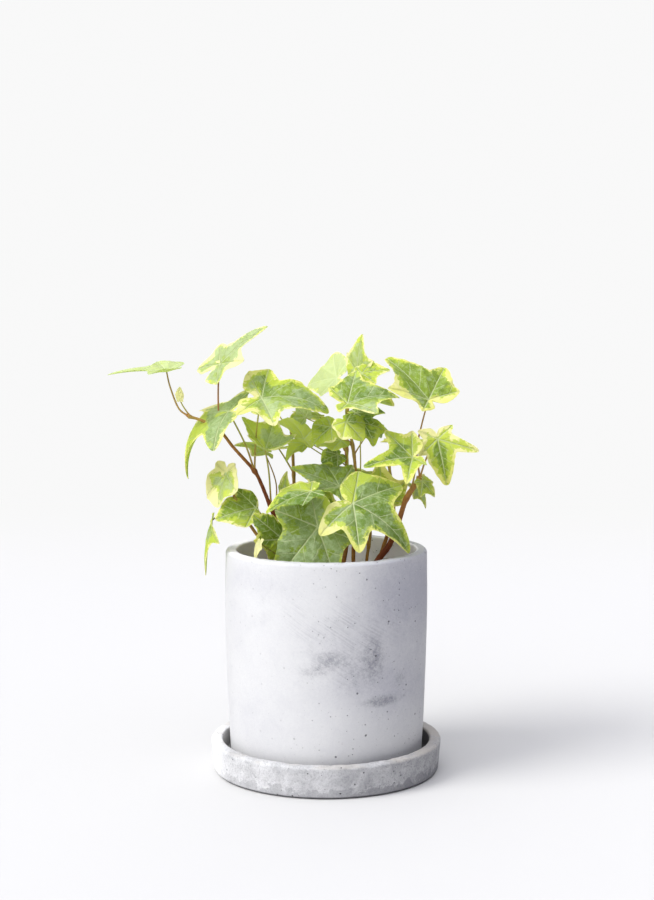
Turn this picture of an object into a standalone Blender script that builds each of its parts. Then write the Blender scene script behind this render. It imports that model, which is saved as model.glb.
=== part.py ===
# Variegated ivy growing in a concrete pot that stands on a concrete saucer.
# Lengths are in millimetres and turned into metres by MM. The saucer's underside is at z = 0,
# the pot's axis is the Z axis, and the front of the plant faces -Y.

from math import cos, pi, radians, sin, tau

import bmesh
import bpy
import numpy as np

MM = 0.001
GAP = 0.3
ROUND_STEPS = 40

# Saucer: a dish with an upright wall
SAUCER_HEIGHT = 19.4
SAUCER_FOOT_RADIUS = 70.0
SAUCER_TOP_RADIUS = 71.5
SAUCER_INNER_RADIUS = 64.3
SAUCER_FLOOR = 8.0
SAUCER_EDGE = 1.6

# Pot: a slightly barrelled cylinder with a thick rounded rim
POT_BOTTOM = SAUCER_FLOOR + GAP
POT_RIM = 137.8
POT_FOOT_RADIUS = 59.6
POT_LOW_RADIUS = 61.2
POT_WIDEST_RADIUS = 62.7
POT_RIM_RADIUS = 62.3
POT_LOW_HEIGHT = 46.0
POT_WIDEST_HEIGHT = 98.0
POT_MOUTH_RADIUS = 55.5
POT_WELL_RADIUS = 53.5
POT_FLOOR = POT_BOTTOM + 11.0
POT_DRAIN_RADIUS = 7.0
POT_RIM_EDGE = 2.6
POT_FOOT_EDGE = 3.0

# Soil: fills the pot to below the rim
SOIL_TOP = 115.0
SOIL_SIDE_GAP = 0.6
SOIL_BUMP = 0.9
SOIL_RINGS = 5
HOLE_DEPTH = 14.0
HOLE_SIDES = 16

# Ivy: stems, leaf stalks and blades
BLADE_THICKNESS = 0.65
STEM_RESOLUTION = 2
STALK_RADIUS = 0.75
STALK_TIP_RADIUS = 0.6
STALK_RESOLUTION = 1
SMALL_LEAF = 18.0
LARGE_LEAF = 36.0

# A leaf's five lobes, from its left base round the tip to its right base: direction from the tip in
# degrees, length beside the middle lobe's, and the angle that each bends down through, in degrees
TURN = (-112, -54, 0, 54, 112)
LOBES = (0.52, 0.78, 1.0, 0.78, 0.52)
BEND = (25, 25, 25, 25, 25)
FOLD = 6.0
LOBE_HALF_POINT = radians(34)
LOBE_FULL_TO = radians(26)
LOBE_FADE = radians(30)
LOBE_BLEND = 6
NOTCH_RADIUS = 0.06


def leaf(at, tip, face, stalk, lobes=LOBES, turn=TURN, bend=BEND, rise=5):
    """A leaf: at is where its stalk joins the blade, tip the end of its middle lobe, face the way
    its upper side looks, stalk the points of its stalk from the stem on, and rise the angle in
    degrees at which the blade leaves the joint."""
    return dict(at=at, tip=tip, face=face, stalk=stalk, lobes=lobes, turn=turn, bend=bend, rise=rise)


def back_leaf(at, tip, face, stalk):
    """A leaf behind the plant, which has the usual lobes"""
    return leaf(at, tip, face, stalk, lobes=(0.5, 0.75, 1.0, 0.8, 0.55), bend=(20, 30, 35, 30, 20))


VINES = {
    "vine_left": dict(
        stem=[(-18, 4, 118), (-25, 1, 138), (-33, -2, 160), (-40, -3, 178), (-44, -4, 186),
              (-50, -5, 193), (-57, -6, 201), (-65, -7, 211), (-75, -8, 217), (-84, -8, 220)],
        radii=(1.7, 0.9),
        leaves=[
            leaf((-97, -8, 247), (-133, -8, 245), (-0.1, -0.1, 1), lobes=(0.55, 0.7, 1, 0.7, 0.55),
                 turn=(-115, -55, 0, 60, 115), bend=(5, 20, 20, 5, 15), rise=12,
                 stalk=[(-84, -8, 220), (-90, -8, 225), (-95, -8, 238)]),
            leaf((-89, -9, 230), (-90, -9, 239), (-0.2, -0.9, 0.2), lobes=(0.5, 0.6, 1, 0.6, 0.5),
                 stalk=[(-83, -8, 220), (-87, -9, 226)]),
            leaf((-65, 0, 251), (-36, 6, 274), (-0.5, -0.4, 0.8), lobes=(0.6, 0.65, 1, 0.6, 0.55),
                 turn=(-120, -65, 0, 60, 120), rise=7,
                 stalk=[(-65, -7, 211), (-66, -4, 227), (-66, -1, 241)]),
            leaf((-59, -12, 223), (-85, -5, 181), (-0.8, -0.2, 0.5), lobes=(0.5, 0.7, 1, 0.7, 0.65),
                 turn=(-110, -65, 0, 60, 125), bend=(30, 50, 80, 20, 15),
                 stalk=[(-44, -4, 186), (-49, -9, 202), (-56, -12, 217)]),
            leaf((-39, -14, 231), (2, -11, 221), (0.2, -0.5, 0.8), lobes=(0.55, 0.6, 1, 0.7, 0.55),
                 turn=(-115, -85, 0, 70, 120), bend=(10, 20, 70, 40, 25), rise=15,
                 stalk=[(-44, -4, 186), (-43, -9, 205), (-41, -12, 222)]),
            leaf((-37, -14, 200), (-51, -1, 219), (0.5, -0.5, 0.7), lobes=(0.5, 0.55, 1, 1, 0.8),
                 turn=(-110, -55, 0, 50, 110), bend=(-25, -35, -10, -35, -30), rise=20,
                 stalk=[(-34, -2, 165), (-35, -8, 185)]),
            leaf((-38, 6, 197), (-57, 2, 201), (0.2, -0.2, 1), lobes=(0.5, 0.85, 1, 0.95, 0.5),
                 stalk=[(-32, -1, 158), (-31, 4, 177)]),
        ]),
    "vine_left_low": dict(
        stem=[(-30, -10, 118), (-36, -14, 138), (-44, -17, 151), (-50, -15, 160), (-56, -12, 171)],
        radii=(1.3, 0.8),
        leaves=[
            leaf((-43, -12, 164), (-67, -21, 158), (-0.2, -0.8, 0.6), lobes=(0.5, 0.65, 1, 0.75, 0.5),
                 bend=(25, 25, 30, 20, 25),
                 stalk=[(-31, -10, 122), (-29, -4, 143), (-35, -7, 154)]),
            leaf((-61, -8, 185), (-66, -16, 165), (-0.7, -0.5, 0.5), lobes=(0.5, 0.85, 1, 0.95, 0.6),
                 turn=(-115, -50, 0, 50, 125), bend=(15, 30, 15, 25, 20), rise=12,
                 stalk=[(-56, -12, 171)]),
            leaf((-70, -2, 156), (-73, -10, 125), (-0.9, -0.3, 0.2), lobes=(0.5, 0.8, 1, 0.65, 0.5),
                 turn=(-110, -60, 0, 55, 110), bend=(20, 30, 10, 30, 20), rise=2,
                 stalk=[(-50, -15, 160), (-60, -7, 163)]),
        ]),
    "vine_rim": dict(
        stem=[(-20, -14, 118), (-22, -14, 130), (-24, -13, 138)],
        radii=(1.2, 0.8),
        leaves=[
            leaf((-27, -14, 146), (-45, -35, 162), (0.6, -0.7, 0.5), lobes=(0.5, 0.8, 1, 0.6, 0.5),
                 turn=(-105, -65, 0, 55, 115), bend=(35, 20, 20, 30, 25), rise=0,
                 stalk=[(-24, -13, 138)]),
            leaf((-39, -27, 148), (-42, -29, 136), (-0.9, -0.4, 0.2), lobes=(0.5, 0.6, 1, 0.6, 0.5),
                 stalk=[(-22, -14, 130), (-33, -22, 139)]),
        ]),
    "vine_front_left": dict(
        stem=[(-8, -14, 118), (-8, -16, 134), (-9, -15, 150), (-14, -10, 162)],
        radii=(1.4, 0.9),
        leaves=[
            leaf((-5, -31, 155), (-30, -41, 124), (0, -0.95, 0.3), lobes=(0.6, 0.8, 1, 0.8, 0.6),
                 turn=(-108, -56, 0, 58, 112), bend=(25, 25, 20, 15, 20), rise=8,
                 stalk=[(-9, -15, 150), (-7, -22, 155)]),
            leaf((-9, -36, 179), (-35, -42, 168), (-0.3, -0.2, 0.9), lobes=(0.5, 0.8, 1, 0.8, 0.5),
                 stalk=[(-14, -10, 162), (-14, -28, 168)]),
            leaf((-25, -6, 171), (-24, -3, 186), (-0.8, -0.5, 0.2), lobes=(0.5, 0.7, 1, 0.65, 0.5),
                 stalk=[(-14, -10, 162), (-20, -8, 167)]),
        ]),
    "vine_front_right": dict(
        stem=[(25, -8, 118), (25, -8, 132), (27, -13, 150), (23, -24, 162)],
        radii=(1.5, 1.0),
        leaves=[
            leaf((16, -36, 170), (50, -34, 140), (0.5, -0.8, 0.5), lobes=(0.55, 0.75, 1, 0.7, 0.6),
                 turn=(-110, -60, 0, 55, 105), bend=(15, 25, 65, 40, 50), rise=3,
                 stalk=[(23, -24, 162)]),
            leaf((7, -12, 177), (-23, -9, 187), (0.2, -0.6, 0.8), lobes=(0.55, 0.95, 1, 0.7, 0.6),
                 turn=(-110, -42, 0, 50, 100), bend=(30, 5, 20, 40, 10), rise=12,
                 stalk=[(26, -10, 140), (20, -5, 158), (12, -6, 171)]),
        ]),
    "vine_centre": dict(
        stem=[(17, 6, 118), (17, 5, 140), (18, 4, 165), (18, 3, 186), (16, 2, 203), (13, 1, 216)],
        radii=(1.9, 0.9),
        leaves=[
            leaf((-14, 12, 204), (-30, 6, 215), (0.6, -0.3, 0.7), lobes=(0.5, 0.9, 1, 0.95, 0.65),
                 bend=(25, 5, 25, 30, 10), rise=16, stalk=[(18, 3, 184), (4, 9, 194)]),
            leaf((-13, 15, 201), (-25, 12, 190), (-0.6, -0.5, 0.7), lobes=(0.5, 0.7, 1, 0.8, 0.5),
                 bend=(25, 10, 50, 10, 25), rise=10, stalk=[(18, 4, 180), (4, 12, 190)]),
            leaf((-13, 20, 217), (-19, 22, 225), (-0.3, -0.7, 0.6),
                 stalk=[(17, 2, 200), (2, 14, 210)]),
            leaf((3, -6, 213), (-8, -9, 203), (-0.2, -0.8, 0.5), lobes=(0.5, 0.7, 1, 0.75, 0.55),
                 bend=(25, 20, 35, 20, 25), rise=9, stalk=[(16, 2, 202), (10, -3, 208)]),
            leaf((9, 0, 204), (-6, -2, 201), (-0.1, -0.4, 0.9), stalk=[(17, 2, 196)]),
            leaf((7, 4, 195), (-3, -2, 191), (0.1, -0.6, 0.8), stalk=[(18, 3, 188)]),
            leaf((12, -16, 217), (22, -20, 206), (0.3, -0.8, 0.5), lobes=(0.5, 0.8, 1, 0.8, 0.6),
                 rise=0, stalk=[(14, 1, 212), (14, -9, 215)]),
            leaf((18, 2, 221), (36, 0, 221), (-0.1, -0.3, 0.9), lobes=(0.5, 0.85, 1, 0.85, 0.5),
                 rise=2, stalk=[(13, 1, 216)]),
            leaf((22, -10, 216), (29, -13, 202), (0.6, -0.7, 0.4), lobes=(0.5, 1, 1, 0.8, 0.5),
                 bend=(25, 15, 40, 20, 25), stalk=[(15, 2, 208), (19, -6, 213)]),
            leaf((30, 14, 210), (40, 14, 208), (0.2, -0.5, 0.8), lobes=(0.5, 0.9, 1, 0.85, 0.5),
                 stalk=[(17, 3, 195), (24, 10, 205)]),
            leaf((13, -14, 228), (45, -8, 231), (0, -0.4, 0.9), lobes=(0.55, 0.85, 1, 0.75, 0.5),
                 turn=(-115, -65, 0, 55, 118), bend=(15, 5, 45, 40, 25), rise=18,
                 stalk=[(13, 1, 216), (12, -7, 223)]),
        ]),
    "vine_back": dict(
        stem=[(10, 22, 118), (11, 24, 150), (12, 26, 185), (13, 26, 215), (14, 26, 234)],
        radii=(1.6, 0.9),
        leaves=[
            leaf((16, 24, 245), (22, 22, 269), (-0.8, -0.6, 0.1), lobes=(0.5, 0.7, 1, 0.7, 0.5),
                 stalk=[(14, 26, 234)]),
            leaf((7, 36, 241), (-12, 56, 235), (-0.7, -0.4, 0.5), lobes=(0.5, 0.55, 1, 0.95, 0.5),
                 turn=(-110, -50, 0, 60, 110), stalk=[(13, 26, 222), (10, 32, 234)]),
            leaf((22, 11, 245), (40, 10, 247), (-0.1, -0.6, 0.8), lobes=(0.5, 0.75, 1, 0.8, 0.5),
                 stalk=[(14, 26, 228), (19, 14, 238)]),
            back_leaf((22, 44, 226), (44, 60, 222), (0.2, 0.5, 0.8),
                      stalk=[(13, 26, 208), (18, 38, 220)]),
            back_leaf((-4, 40, 216), (-24, 54, 212), (-0.2, 0.5, 0.8),
                      stalk=[(12, 26, 196), (2, 36, 210)]),
        ]),
    "vine_right": dict(
        stem=[(26, 4, 118), (33, 6, 130), (39, 6, 138), (44, 5, 150), (49, 5, 166), (54, 4, 175),
              (58, 4, 181)],
        radii=(2.5, 1.5),
        leaves=[
            leaf((63, 4, 229), (37, 19, 255), (0.3, -0.6, 0.7), lobes=(0.45, 0.7, 1, 0.8, 0.55),
                 turn=(-115, -50, 0, 65, 110), bend=(20, 20, 25, 25, 15), rise=17,
                 stalk=[(58, 4, 181), (56, 4, 198), (59, 4, 214)]),
            leaf((52, -22, 196), (22, -32, 191), (0.1, -0.6, 0.8), lobes=(0.4, 0.8, 1, 0.75, 0.6),
                 turn=(-110, -60, 0, 65, 110), bend=(15, 30, 30, 10, 20), rise=18,
                 stalk=[(52, 5, 171), (54, -6, 183), (54, -15, 192)]),
            leaf((68, -8, 206), (74, -4, 177), (0.8, -0.7, 0), lobes=(0.5, 0.9, 1, 0.95, 0.5),
                 turn=(-120, -60, 0, 60, 125), bend=(45, 20, 45, 40, 15), rise=6,
                 stalk=[(58, 4, 181), (62, 0, 194)]),
            leaf((59, 2, 179), (67, 1, 169), (0.6, -0.7, 0.5), lobes=(0.5, 0.7, 1, 0.9, 0.5),
                 stalk=[(54, 4, 175)]),
            leaf((55, 12, 174), (62, 9, 161), (0.8, -0.4, 0.5), stalk=[(50, 5, 168)]),
        ]),
    "vine_back_right": dict(
        stem=[(32, 28, 118), (35, 31, 140), (38, 33, 165), (40, 34, 186)],
        radii=(1.5, 0.9),
        leaves=[
            back_leaf((48, 36, 200), (60, 60, 196), (0.3, 0.5, 0.8), stalk=[(40, 34, 186)]),
            back_leaf((30, 46, 178), (12, 68, 172), (-0.1, 0.6, 0.8),
                      stalk=[(38, 33, 166), (34, 41, 174)]),
            back_leaf((40, 22, 166), (36, 14, 190), (-0.2, -0.8, 0.4),
                      stalk=[(37, 32, 158), (39, 27, 162)]),
        ]),
    "vine_back_left": dict(
        stem=[(-16, 26, 118), (-18, 28, 140), (-20, 29, 165), (-21, 28, 190), (-22, 26, 208)],
        radii=(1.5, 0.9),
        leaves=[
            back_leaf((-34, 36, 222), (-44, 50, 232), (-0.5, -0.4, 0.7), stalk=[(-22, 26, 208)]),
            back_leaf((-30, 34, 196), (-44, 54, 190), (-0.4, 0.5, 0.8),
                      stalk=[(-20, 28, 180), (-26, 31, 190)]),
            back_leaf((-12, 42, 172), (-2, 64, 160), (0.1, 0.6, 0.8),
                      stalk=[(-19, 29, 156), (-15, 37, 168)]),
            back_leaf((-6, 14, 166), (8, 8, 182), (0.1, -0.7, 0.7),
                      stalk=[(-18, 28, 144), (-11, 20, 158)]),
        ]),
}


def unit(vector):
    """The vector at length 1"""
    vector = np.asarray(vector, float)
    return vector / np.linalg.norm(vector)


def plain_material(name, colour, roughness):
    """A Principled material of one colour"""
    material = bpy.data.materials.new(name)
    material.use_nodes = True
    shader = material.node_tree.nodes["Principled BSDF"]
    shader.inputs["Base Color"].default_value = (*colour, 1.0)
    shader.inputs["Roughness"].default_value = roughness
    return material


def add_object(name, mesh, collection, material=None):
    """A new object for the mesh, in the collection"""
    thing = bpy.data.objects.new(name, mesh)
    collection.objects.link(thing)
    if material:
        mesh.materials.append(material)
    return thing


def arc(centre, radius, start, end, steps):
    """Points of an arc in the profile plane, from start to end in degrees"""
    angles = [radians(start + (end - start) * i / steps) for i in range(steps + 1)]
    return [(centre[0] + radius * cos(a), centre[1] + radius * sin(a)) for a in angles]


def turned(name, profile, closed, collection, material):
    """A solid turned round the Z axis from a profile of (radius, height) points"""
    mesh = bpy.data.meshes.new(name)
    edges = [(i, i + 1) for i in range(len(profile) - 1)]
    if closed:
        edges.append((len(profile) - 1, 0))
    mesh.from_pydata([(r * MM, 0, z * MM) for r, z in profile], edges, [])
    thing = add_object(name, mesh, collection, material)
    screw = thing.modifiers.new("Turn", "SCREW")
    screw.steps = ROUND_STEPS
    screw.render_steps = ROUND_STEPS
    screw.use_merge_vertices = True
    screw.merge_threshold = 0.00001
    screw.use_smooth_shade = True
    return thing


def saucer_profile():
    """Up the middle, out over the floor, up the wall and down the outside to the foot"""
    edge = SAUCER_EDGE
    inner = SAUCER_INNER_RADIUS
    points = [(0, SAUCER_FLOOR)]
    points += arc((inner - edge, SAUCER_FLOOR + edge), edge, -90, 0, 2)
    points += arc((inner + edge, SAUCER_HEIGHT - edge), edge, 180, 90, 2)
    points += arc((SAUCER_TOP_RADIUS - edge, SAUCER_HEIGHT - edge), edge, 90, 0, 2)
    points += arc((SAUCER_FOOT_RADIUS - edge, edge), edge, 0, -90, 2)
    points += [(0, 0)]
    return points


def pot_profile():
    """A closed loop: up the inside from the drain hole, over the rim and down the outside"""
    rim = POT_RIM_EDGE
    foot = POT_FOOT_EDGE
    points = [(POT_DRAIN_RADIUS, POT_FLOOR), (POT_WELL_RADIUS - foot, POT_FLOOR),
              (POT_WELL_RADIUS, POT_FLOOR + foot)]
    points += arc((POT_MOUTH_RADIUS + rim, POT_RIM - rim), rim, 180, 90, 3)
    points += arc((POT_RIM_RADIUS - rim, POT_RIM - rim), rim, 90, 0, 3)
    points += [(POT_WIDEST_RADIUS, POT_WIDEST_HEIGHT), (POT_LOW_RADIUS, POT_LOW_HEIGHT)]
    points += arc((POT_FOOT_RADIUS - foot, POT_BOTTOM + foot), foot, 0, -90, 2)
    points += [(POT_DRAIN_RADIUS, POT_BOTTOM)]
    return points


def well_radius(height):
    """Radius of the pot's inside at a height"""
    share = (height - POT_FLOOR) / (POT_RIM - POT_FLOOR)
    return POT_WELL_RADIUS + (POT_MOUTH_RADIUS - POT_WELL_RADIUS) * share


def soil_profile():
    """The soil's solid, out over its top and down beside the pot's wall"""
    floor = POT_FLOOR + GAP
    outer = well_radius(SOIL_TOP) - SOIL_SIDE_GAP
    foot = POT_WELL_RADIUS - SOIL_SIDE_GAP
    points = [(outer * i / SOIL_RINGS, SOIL_TOP) for i in range(SOIL_RINGS + 1)]
    points += [(foot, floor + POT_FOOT_EDGE), (foot - POT_FOOT_EDGE, floor), (0, floor)]
    return points


def applied(thing):
    """Replaces the object's mesh by what its modifiers make of it"""
    graph = bpy.context.evaluated_depsgraph_get()
    mesh = bpy.data.meshes.new_from_object(thing.evaluated_get(graph))
    thing.modifiers.clear()
    thing.data = mesh
    return thing


def joined(thing, others, operation, solver):
    """Applies one Boolean with every object of a collection, then removes that collection's objects"""
    boolean = thing.modifiers.new("Join", "BOOLEAN")
    boolean.operation = operation
    boolean.operand_type = "COLLECTION"
    boolean.collection = others
    boolean.solver = solver
    applied(thing)
    for other in list(others.objects):
        bpy.data.objects.remove(other)
    bpy.data.collections.remove(others)
    return thing


def hidden_collection(name):
    """A collection for cutters and for pieces that are about to be joined"""
    collection = bpy.data.collections.new(name)
    bpy.context.scene.collection.children.link(collection)
    return collection


def hide(thing):
    """Keeps a cutter or a piece to be joined out of the model"""
    thing.hide_render = True
    thing.display_type = "WIRE"
    return thing


def make_soil(collection, material):
    """Soil with a slightly uneven top and a plain hole for each stem"""
    soil = applied(turned("soil", soil_profile(), False, collection, material))
    count = len(soil.data.vertices)
    places = np.empty(count * 3, np.float32)
    soil.data.vertices.foreach_get("co", places)
    places = places.reshape(-1, 3)
    x, y = places[:, 0] / MM, places[:, 1] / MM
    radius = np.hypot(x, y)
    inside = (places[:, 2] > (SOIL_TOP - 0.1) * MM) & (radius < well_radius(SOIL_TOP) * 0.9)
    bumps = np.sin(x * 0.31 + 1.0) * np.cos(y * 0.27) + 0.5 * np.sin(x * 0.13 - y * 0.19)
    places[:, 2] += np.where(inside, bumps * SOIL_BUMP * MM, 0)
    soil.data.vertices.foreach_set("co", places.ravel())
    cutters = hidden_collection("stem holes")
    for name, vine in VINES.items():
        x, y, _ = vine["stem"][0]
        # the cutter's flats clear the round stem by the gap
        radius = (vine["radii"][0] + GAP) / cos(pi / HOLE_SIDES)
        place = (x * MM, y * MM, SOIL_TOP * MM)
        bpy.ops.mesh.primitive_cylinder_add(vertices=HOLE_SIDES, radius=radius * MM,
                                            depth=2 * HOLE_DEPTH * MM, location=place)
        cutter = hide(bpy.context.active_object)
        for home in list(cutter.users_collection):
            home.objects.unlink(cutter)
        cutters.objects.link(cutter)
    return joined(soil, cutters, "DIFFERENCE", "EXACT")


def outline(angles, lobes, turn):
    """How far the margin lies from the joint at each angle from the tip, for a middle lobe of length
    1. Each lobe has straight sides that meet in a point, fades beside it, and runs smoothly into the
    next."""
    reach = np.zeros_like(angles)
    for length, centre in zip(lobes, np.radians(turn)):
        off = np.abs((angles - centre + pi) % tau - pi)
        side = np.sin(LOBE_HALF_POINT) / np.sin(np.minimum(LOBE_HALF_POINT + off, pi / 2))
        fade = np.exp(-(np.maximum(off - LOBE_FULL_TO, 0) / LOBE_FADE) ** 2)
        reach += (length * side * fade) ** LOBE_BLEND
    return np.maximum(reach ** (1 / LOBE_BLEND), NOTCH_RADIUS)


def between_lobes(angles, turn):
    """For each angle the lobes on its two sides, and how far it is from the first to the second"""
    centres = np.radians([turn[-1] - 360, *turn, turn[0] + 360])
    left = np.clip(np.searchsorted(centres, angles) - 1, 0, len(centres) - 2)
    share = (angles - centres[left]) / (centres[left + 1] - centres[left])
    return left, share


def blade_frame(spec):
    """The blade's own axes (across, along, up) and the length of its middle lobe, set so that the
    middle lobe's end falls on the leaf's tip though it leaves the joint at its rise and bends"""
    rise, bend = radians(spec["rise"]), radians(spec["bend"][2])
    if abs(bend) < 0.001:
        bend = 0.001
    forward = (sin(rise) - sin(rise - bend)) / bend
    upward = (cos(rise - bend) - cos(rise)) / bend
    reach = np.subtract(spec["tip"], spec["at"]).astype(float)
    chord = unit(reach)
    face = np.asarray(spec["face"], float)
    face = unit(face - chord * (face @ chord))
    tilt = np.arctan2(upward, forward)
    along = cos(tilt) * chord - sin(tilt) * face
    up = sin(tilt) * chord + cos(tilt) * face
    length = np.linalg.norm(reach) / np.hypot(forward, upward)
    return np.cross(along, up), along, up, length


def blade_points(spec, angles, share):
    """Points of the blade at angles from the tip and at shares of the way from joint to margin.
    Each ray leaves the joint at its rise, higher between two veins, and bends down evenly."""
    left, way = between_lobes(angles, spec["turn"])
    smooth = way * way * (3 - 2 * way)
    bends = np.radians([spec["bend"][-1], *spec["bend"], spec["bend"][0]])
    bend = bends[left] * (1 - smooth) + bends[left + 1] * smooth
    bend = np.where(np.abs(bend) < 0.001, 0.001, bend)
    rise = np.radians(spec["rise"] + FOLD * (1 - np.abs(2 * way - 1)))
    reach = outline(angles, spec["lobes"], spec["turn"]) * share
    forward = (np.sin(rise) - np.sin(rise - bend * reach)) / bend
    upward = (np.cos(rise - bend * reach) - np.cos(rise)) / bend
    across_axis, along_axis, up_axis, length = blade_frame(spec)
    flat = np.sin(angles)[:, None] * across_axis + np.cos(angles)[:, None] * along_axis
    return np.array(spec["at"]) + length * (forward[:, None] * flat + upward[:, None] * up_axis)


def ray_angles(spec, length):
    """Directions of the blade's rays: every lobe and every hollow between two, and points between
    them on a leaf that is large enough"""
    steps = 4 if length > LARGE_LEAF else 2
    corners = np.radians([-180, *spec["turn"], 180])
    angles = [np.linspace(a, b, steps, endpoint=False) for a, b in zip(corners[:-1], corners[1:])]
    if length > SMALL_LEAF:
        middle = [np.linspace(a, b, 4, endpoint=False) for a, b in zip(corners[2:4], corners[3:5])]
        angles[2:4] = middle
    return np.concatenate(angles)


def make_blade(name, spec, collection):
    """The blade as a fan and a ring of triangles round the joint, given its thickness by Solidify"""
    length = blade_frame(spec)[3]
    angles = ray_angles(spec, length)
    count = len(angles)
    shares = [1.0] if length < SMALL_LEAF else [0.5, 1.0]
    rings = [blade_points(spec, angles, share) for share in shares]
    points = np.concatenate([[spec["at"]], *rings])
    this = np.arange(count)
    after = (this + 1) % count
    faces = [np.stack([np.zeros(count, int), after + 1, this + 1], 1)]
    if len(rings) == 2:
        inner, outer = 1, 1 + count
        faces.append(np.stack([inner + this, inner + after, outer + after], 1))
        faces.append(np.stack([inner + this, outer + after, outer + this], 1))
    mesh = bpy.data.meshes.new(name)
    mesh.from_pydata((points * MM).tolist(), [], np.concatenate(faces).tolist())
    blade = hide(add_object(name, mesh, collection))
    solid = blade.modifiers.new("Thickness", "SOLIDIFY")
    solid.thickness = BLADE_THICKNESS * MM
    solid.offset = 0
    return applied(blade)


def make_tube(name, points, start_radius, end_radius, resolution, collection):
    """A tapering round stem or stalk through the points, as a closed mesh"""
    curve = bpy.data.curves.new(name, "CURVE")
    curve.dimensions = "3D"
    curve.bevel_depth = MM
    curve.bevel_resolution = resolution
    curve.use_fill_caps = True
    spline = curve.splines.new("POLY")
    spline.points.add(len(points) - 1)
    for i, point in enumerate(points):
        share = i / (len(points) - 1)
        spline.points[i].co = (*(c * MM for c in point), 1)
        spline.points[i].radius = start_radius + (end_radius - start_radius) * share
    drawn = add_object(name + " curve", curve, collection)
    graph = bpy.context.evaluated_depsgraph_get()
    mesh = bpy.data.meshes.new_from_object(drawn.evaluated_get(graph))
    bpy.data.objects.remove(drawn)
    welded = bmesh.new()
    welded.from_mesh(mesh)
    bmesh.ops.remove_doubles(welded, verts=welded.verts, dist=0.00001)
    bmesh.ops.recalc_face_normals(welded, faces=welded.faces)
    welded.to_mesh(mesh)
    welded.free()
    return add_object(name, mesh, collection)


def make_vine(name, vine, collection, material):
    """One leafy stem: its stem, leaf stalks and blades joined in one solid"""
    x, y, _ = vine["stem"][0]
    foot = SOIL_TOP - HOLE_DEPTH + GAP
    points = [(x, y, foot), *vine["stem"]]
    parts = hidden_collection(name + " parts")
    stem = make_tube(name, points, *vine["radii"], STEM_RESOLUTION, collection)
    stem.data.materials.append(material)
    for i, spec in enumerate(vine["leaves"]):
        stalk = [*spec["stalk"], spec["at"]]
        hide(make_tube(f"{name} stalk {i}", stalk, STALK_RADIUS, STALK_TIP_RADIUS, STALK_RESOLUTION, parts))
        make_blade(f"{name} blade {i}", spec, parts)
    joined(stem, parts, "UNION", "MANIFOLD")
    return stem


def build():
    """The whole plant with its pot and saucer"""
    for thing in list(bpy.data.objects):
        bpy.data.objects.remove(thing)
    plant = bpy.data.collections.new("potted ivy")
    bpy.context.scene.collection.children.link(plant)
    concrete = plain_material("pale concrete", (0.72, 0.72, 0.74), 0.85)
    saucer_concrete = plain_material("saucer concrete", (0.58, 0.58, 0.58), 0.85)
    earth = plain_material("potting soil", (0.06, 0.04, 0.03), 0.95)
    foliage = plain_material("ivy", (0.28, 0.42, 0.12), 0.5)
    saucer = turned("saucer", saucer_profile(), False, plant, saucer_concrete)
    pot = turned("pot", pot_profile(), True, plant, concrete)
    make_soil(plant, earth)
    for name, vine in VINES.items():
        make_vine(name, vine, plant, foliage)
    for thing in (saucer, pot):
        applied(thing)
        thing.data.set_sharp_from_angle(angle=radians(40))


build()
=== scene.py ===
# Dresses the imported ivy, its concrete pot and its saucer for the picture. Lengths are in
# millimetres until a mesh is made. The plant faces -Y, and the pot's axis is the Z axis.
from math import cos, hypot, pi, radians, sin, tau

import bpy
import numpy as np
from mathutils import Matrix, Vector


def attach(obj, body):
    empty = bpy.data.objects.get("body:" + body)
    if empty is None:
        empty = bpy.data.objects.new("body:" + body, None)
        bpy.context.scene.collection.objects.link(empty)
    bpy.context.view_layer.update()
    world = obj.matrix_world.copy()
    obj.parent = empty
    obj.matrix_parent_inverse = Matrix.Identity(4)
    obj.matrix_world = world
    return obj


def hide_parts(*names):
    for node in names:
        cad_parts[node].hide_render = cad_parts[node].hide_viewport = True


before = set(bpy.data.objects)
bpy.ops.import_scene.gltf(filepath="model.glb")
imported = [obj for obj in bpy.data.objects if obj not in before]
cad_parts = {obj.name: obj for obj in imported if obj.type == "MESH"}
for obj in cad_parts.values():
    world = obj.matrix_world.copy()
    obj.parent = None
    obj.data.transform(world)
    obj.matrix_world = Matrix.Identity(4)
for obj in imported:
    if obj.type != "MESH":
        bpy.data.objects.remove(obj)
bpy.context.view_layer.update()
mm = 0.001


# Meshes from grids of points

def gridFaces(rows, columns, start=0, closedRows=False):
    # Four-sided faces of a grid of points whose columns, and if asked its rows, close round
    here = start + np.arange(rows * columns).reshape(rows, columns)
    after = np.roll(here, -1, 1)
    if closedRows:
        nextHere, nextAfter = np.roll(here, -1, 0), np.roll(after, -1, 0)
    else:
        here, nextHere = here[:-1], here[1:]
        after, nextAfter = after[:-1], after[1:]
    return np.stack([here, after, nextAfter, nextHere], 2).reshape(-1, 4)


def skin(rows, firstPole, lastPole):
    # A closed skin: a grid whose columns close round, with a fan of triangles at each pole
    count, columns = rows.shape[:2]
    points = np.concatenate([[firstPole], rows.reshape(-1, 3), [lastPole]])
    quads = gridFaces(count, columns, 1)
    ring = np.arange(columns)
    after = np.roll(ring, -1)
    last = 1 + (count - 1) * columns
    fans = np.concatenate([
        np.stack([np.zeros(columns, int), 1 + after, 1 + ring], 1),
        np.stack([np.full(columns, last + columns), last + ring, last + after], 1)])
    return dict(points=points, quads=quads, fans=fans, values={})


def gathered(skins):
    # Several skins as one, with their vertex numbers shifted
    starts = np.cumsum([0] + [len(s["points"]) for s in skins[:-1]])
    return dict(
        points=np.concatenate([s["points"] for s in skins]),
        quads=np.concatenate([s["quads"] + n for s, n in zip(skins, starts)]),
        fans=np.concatenate([s["fans"] + n for s, n in zip(skins, starts)]),
        values={k: np.concatenate([s["values"][k] for s in skins]) for k in skins[0]["values"]})


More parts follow.
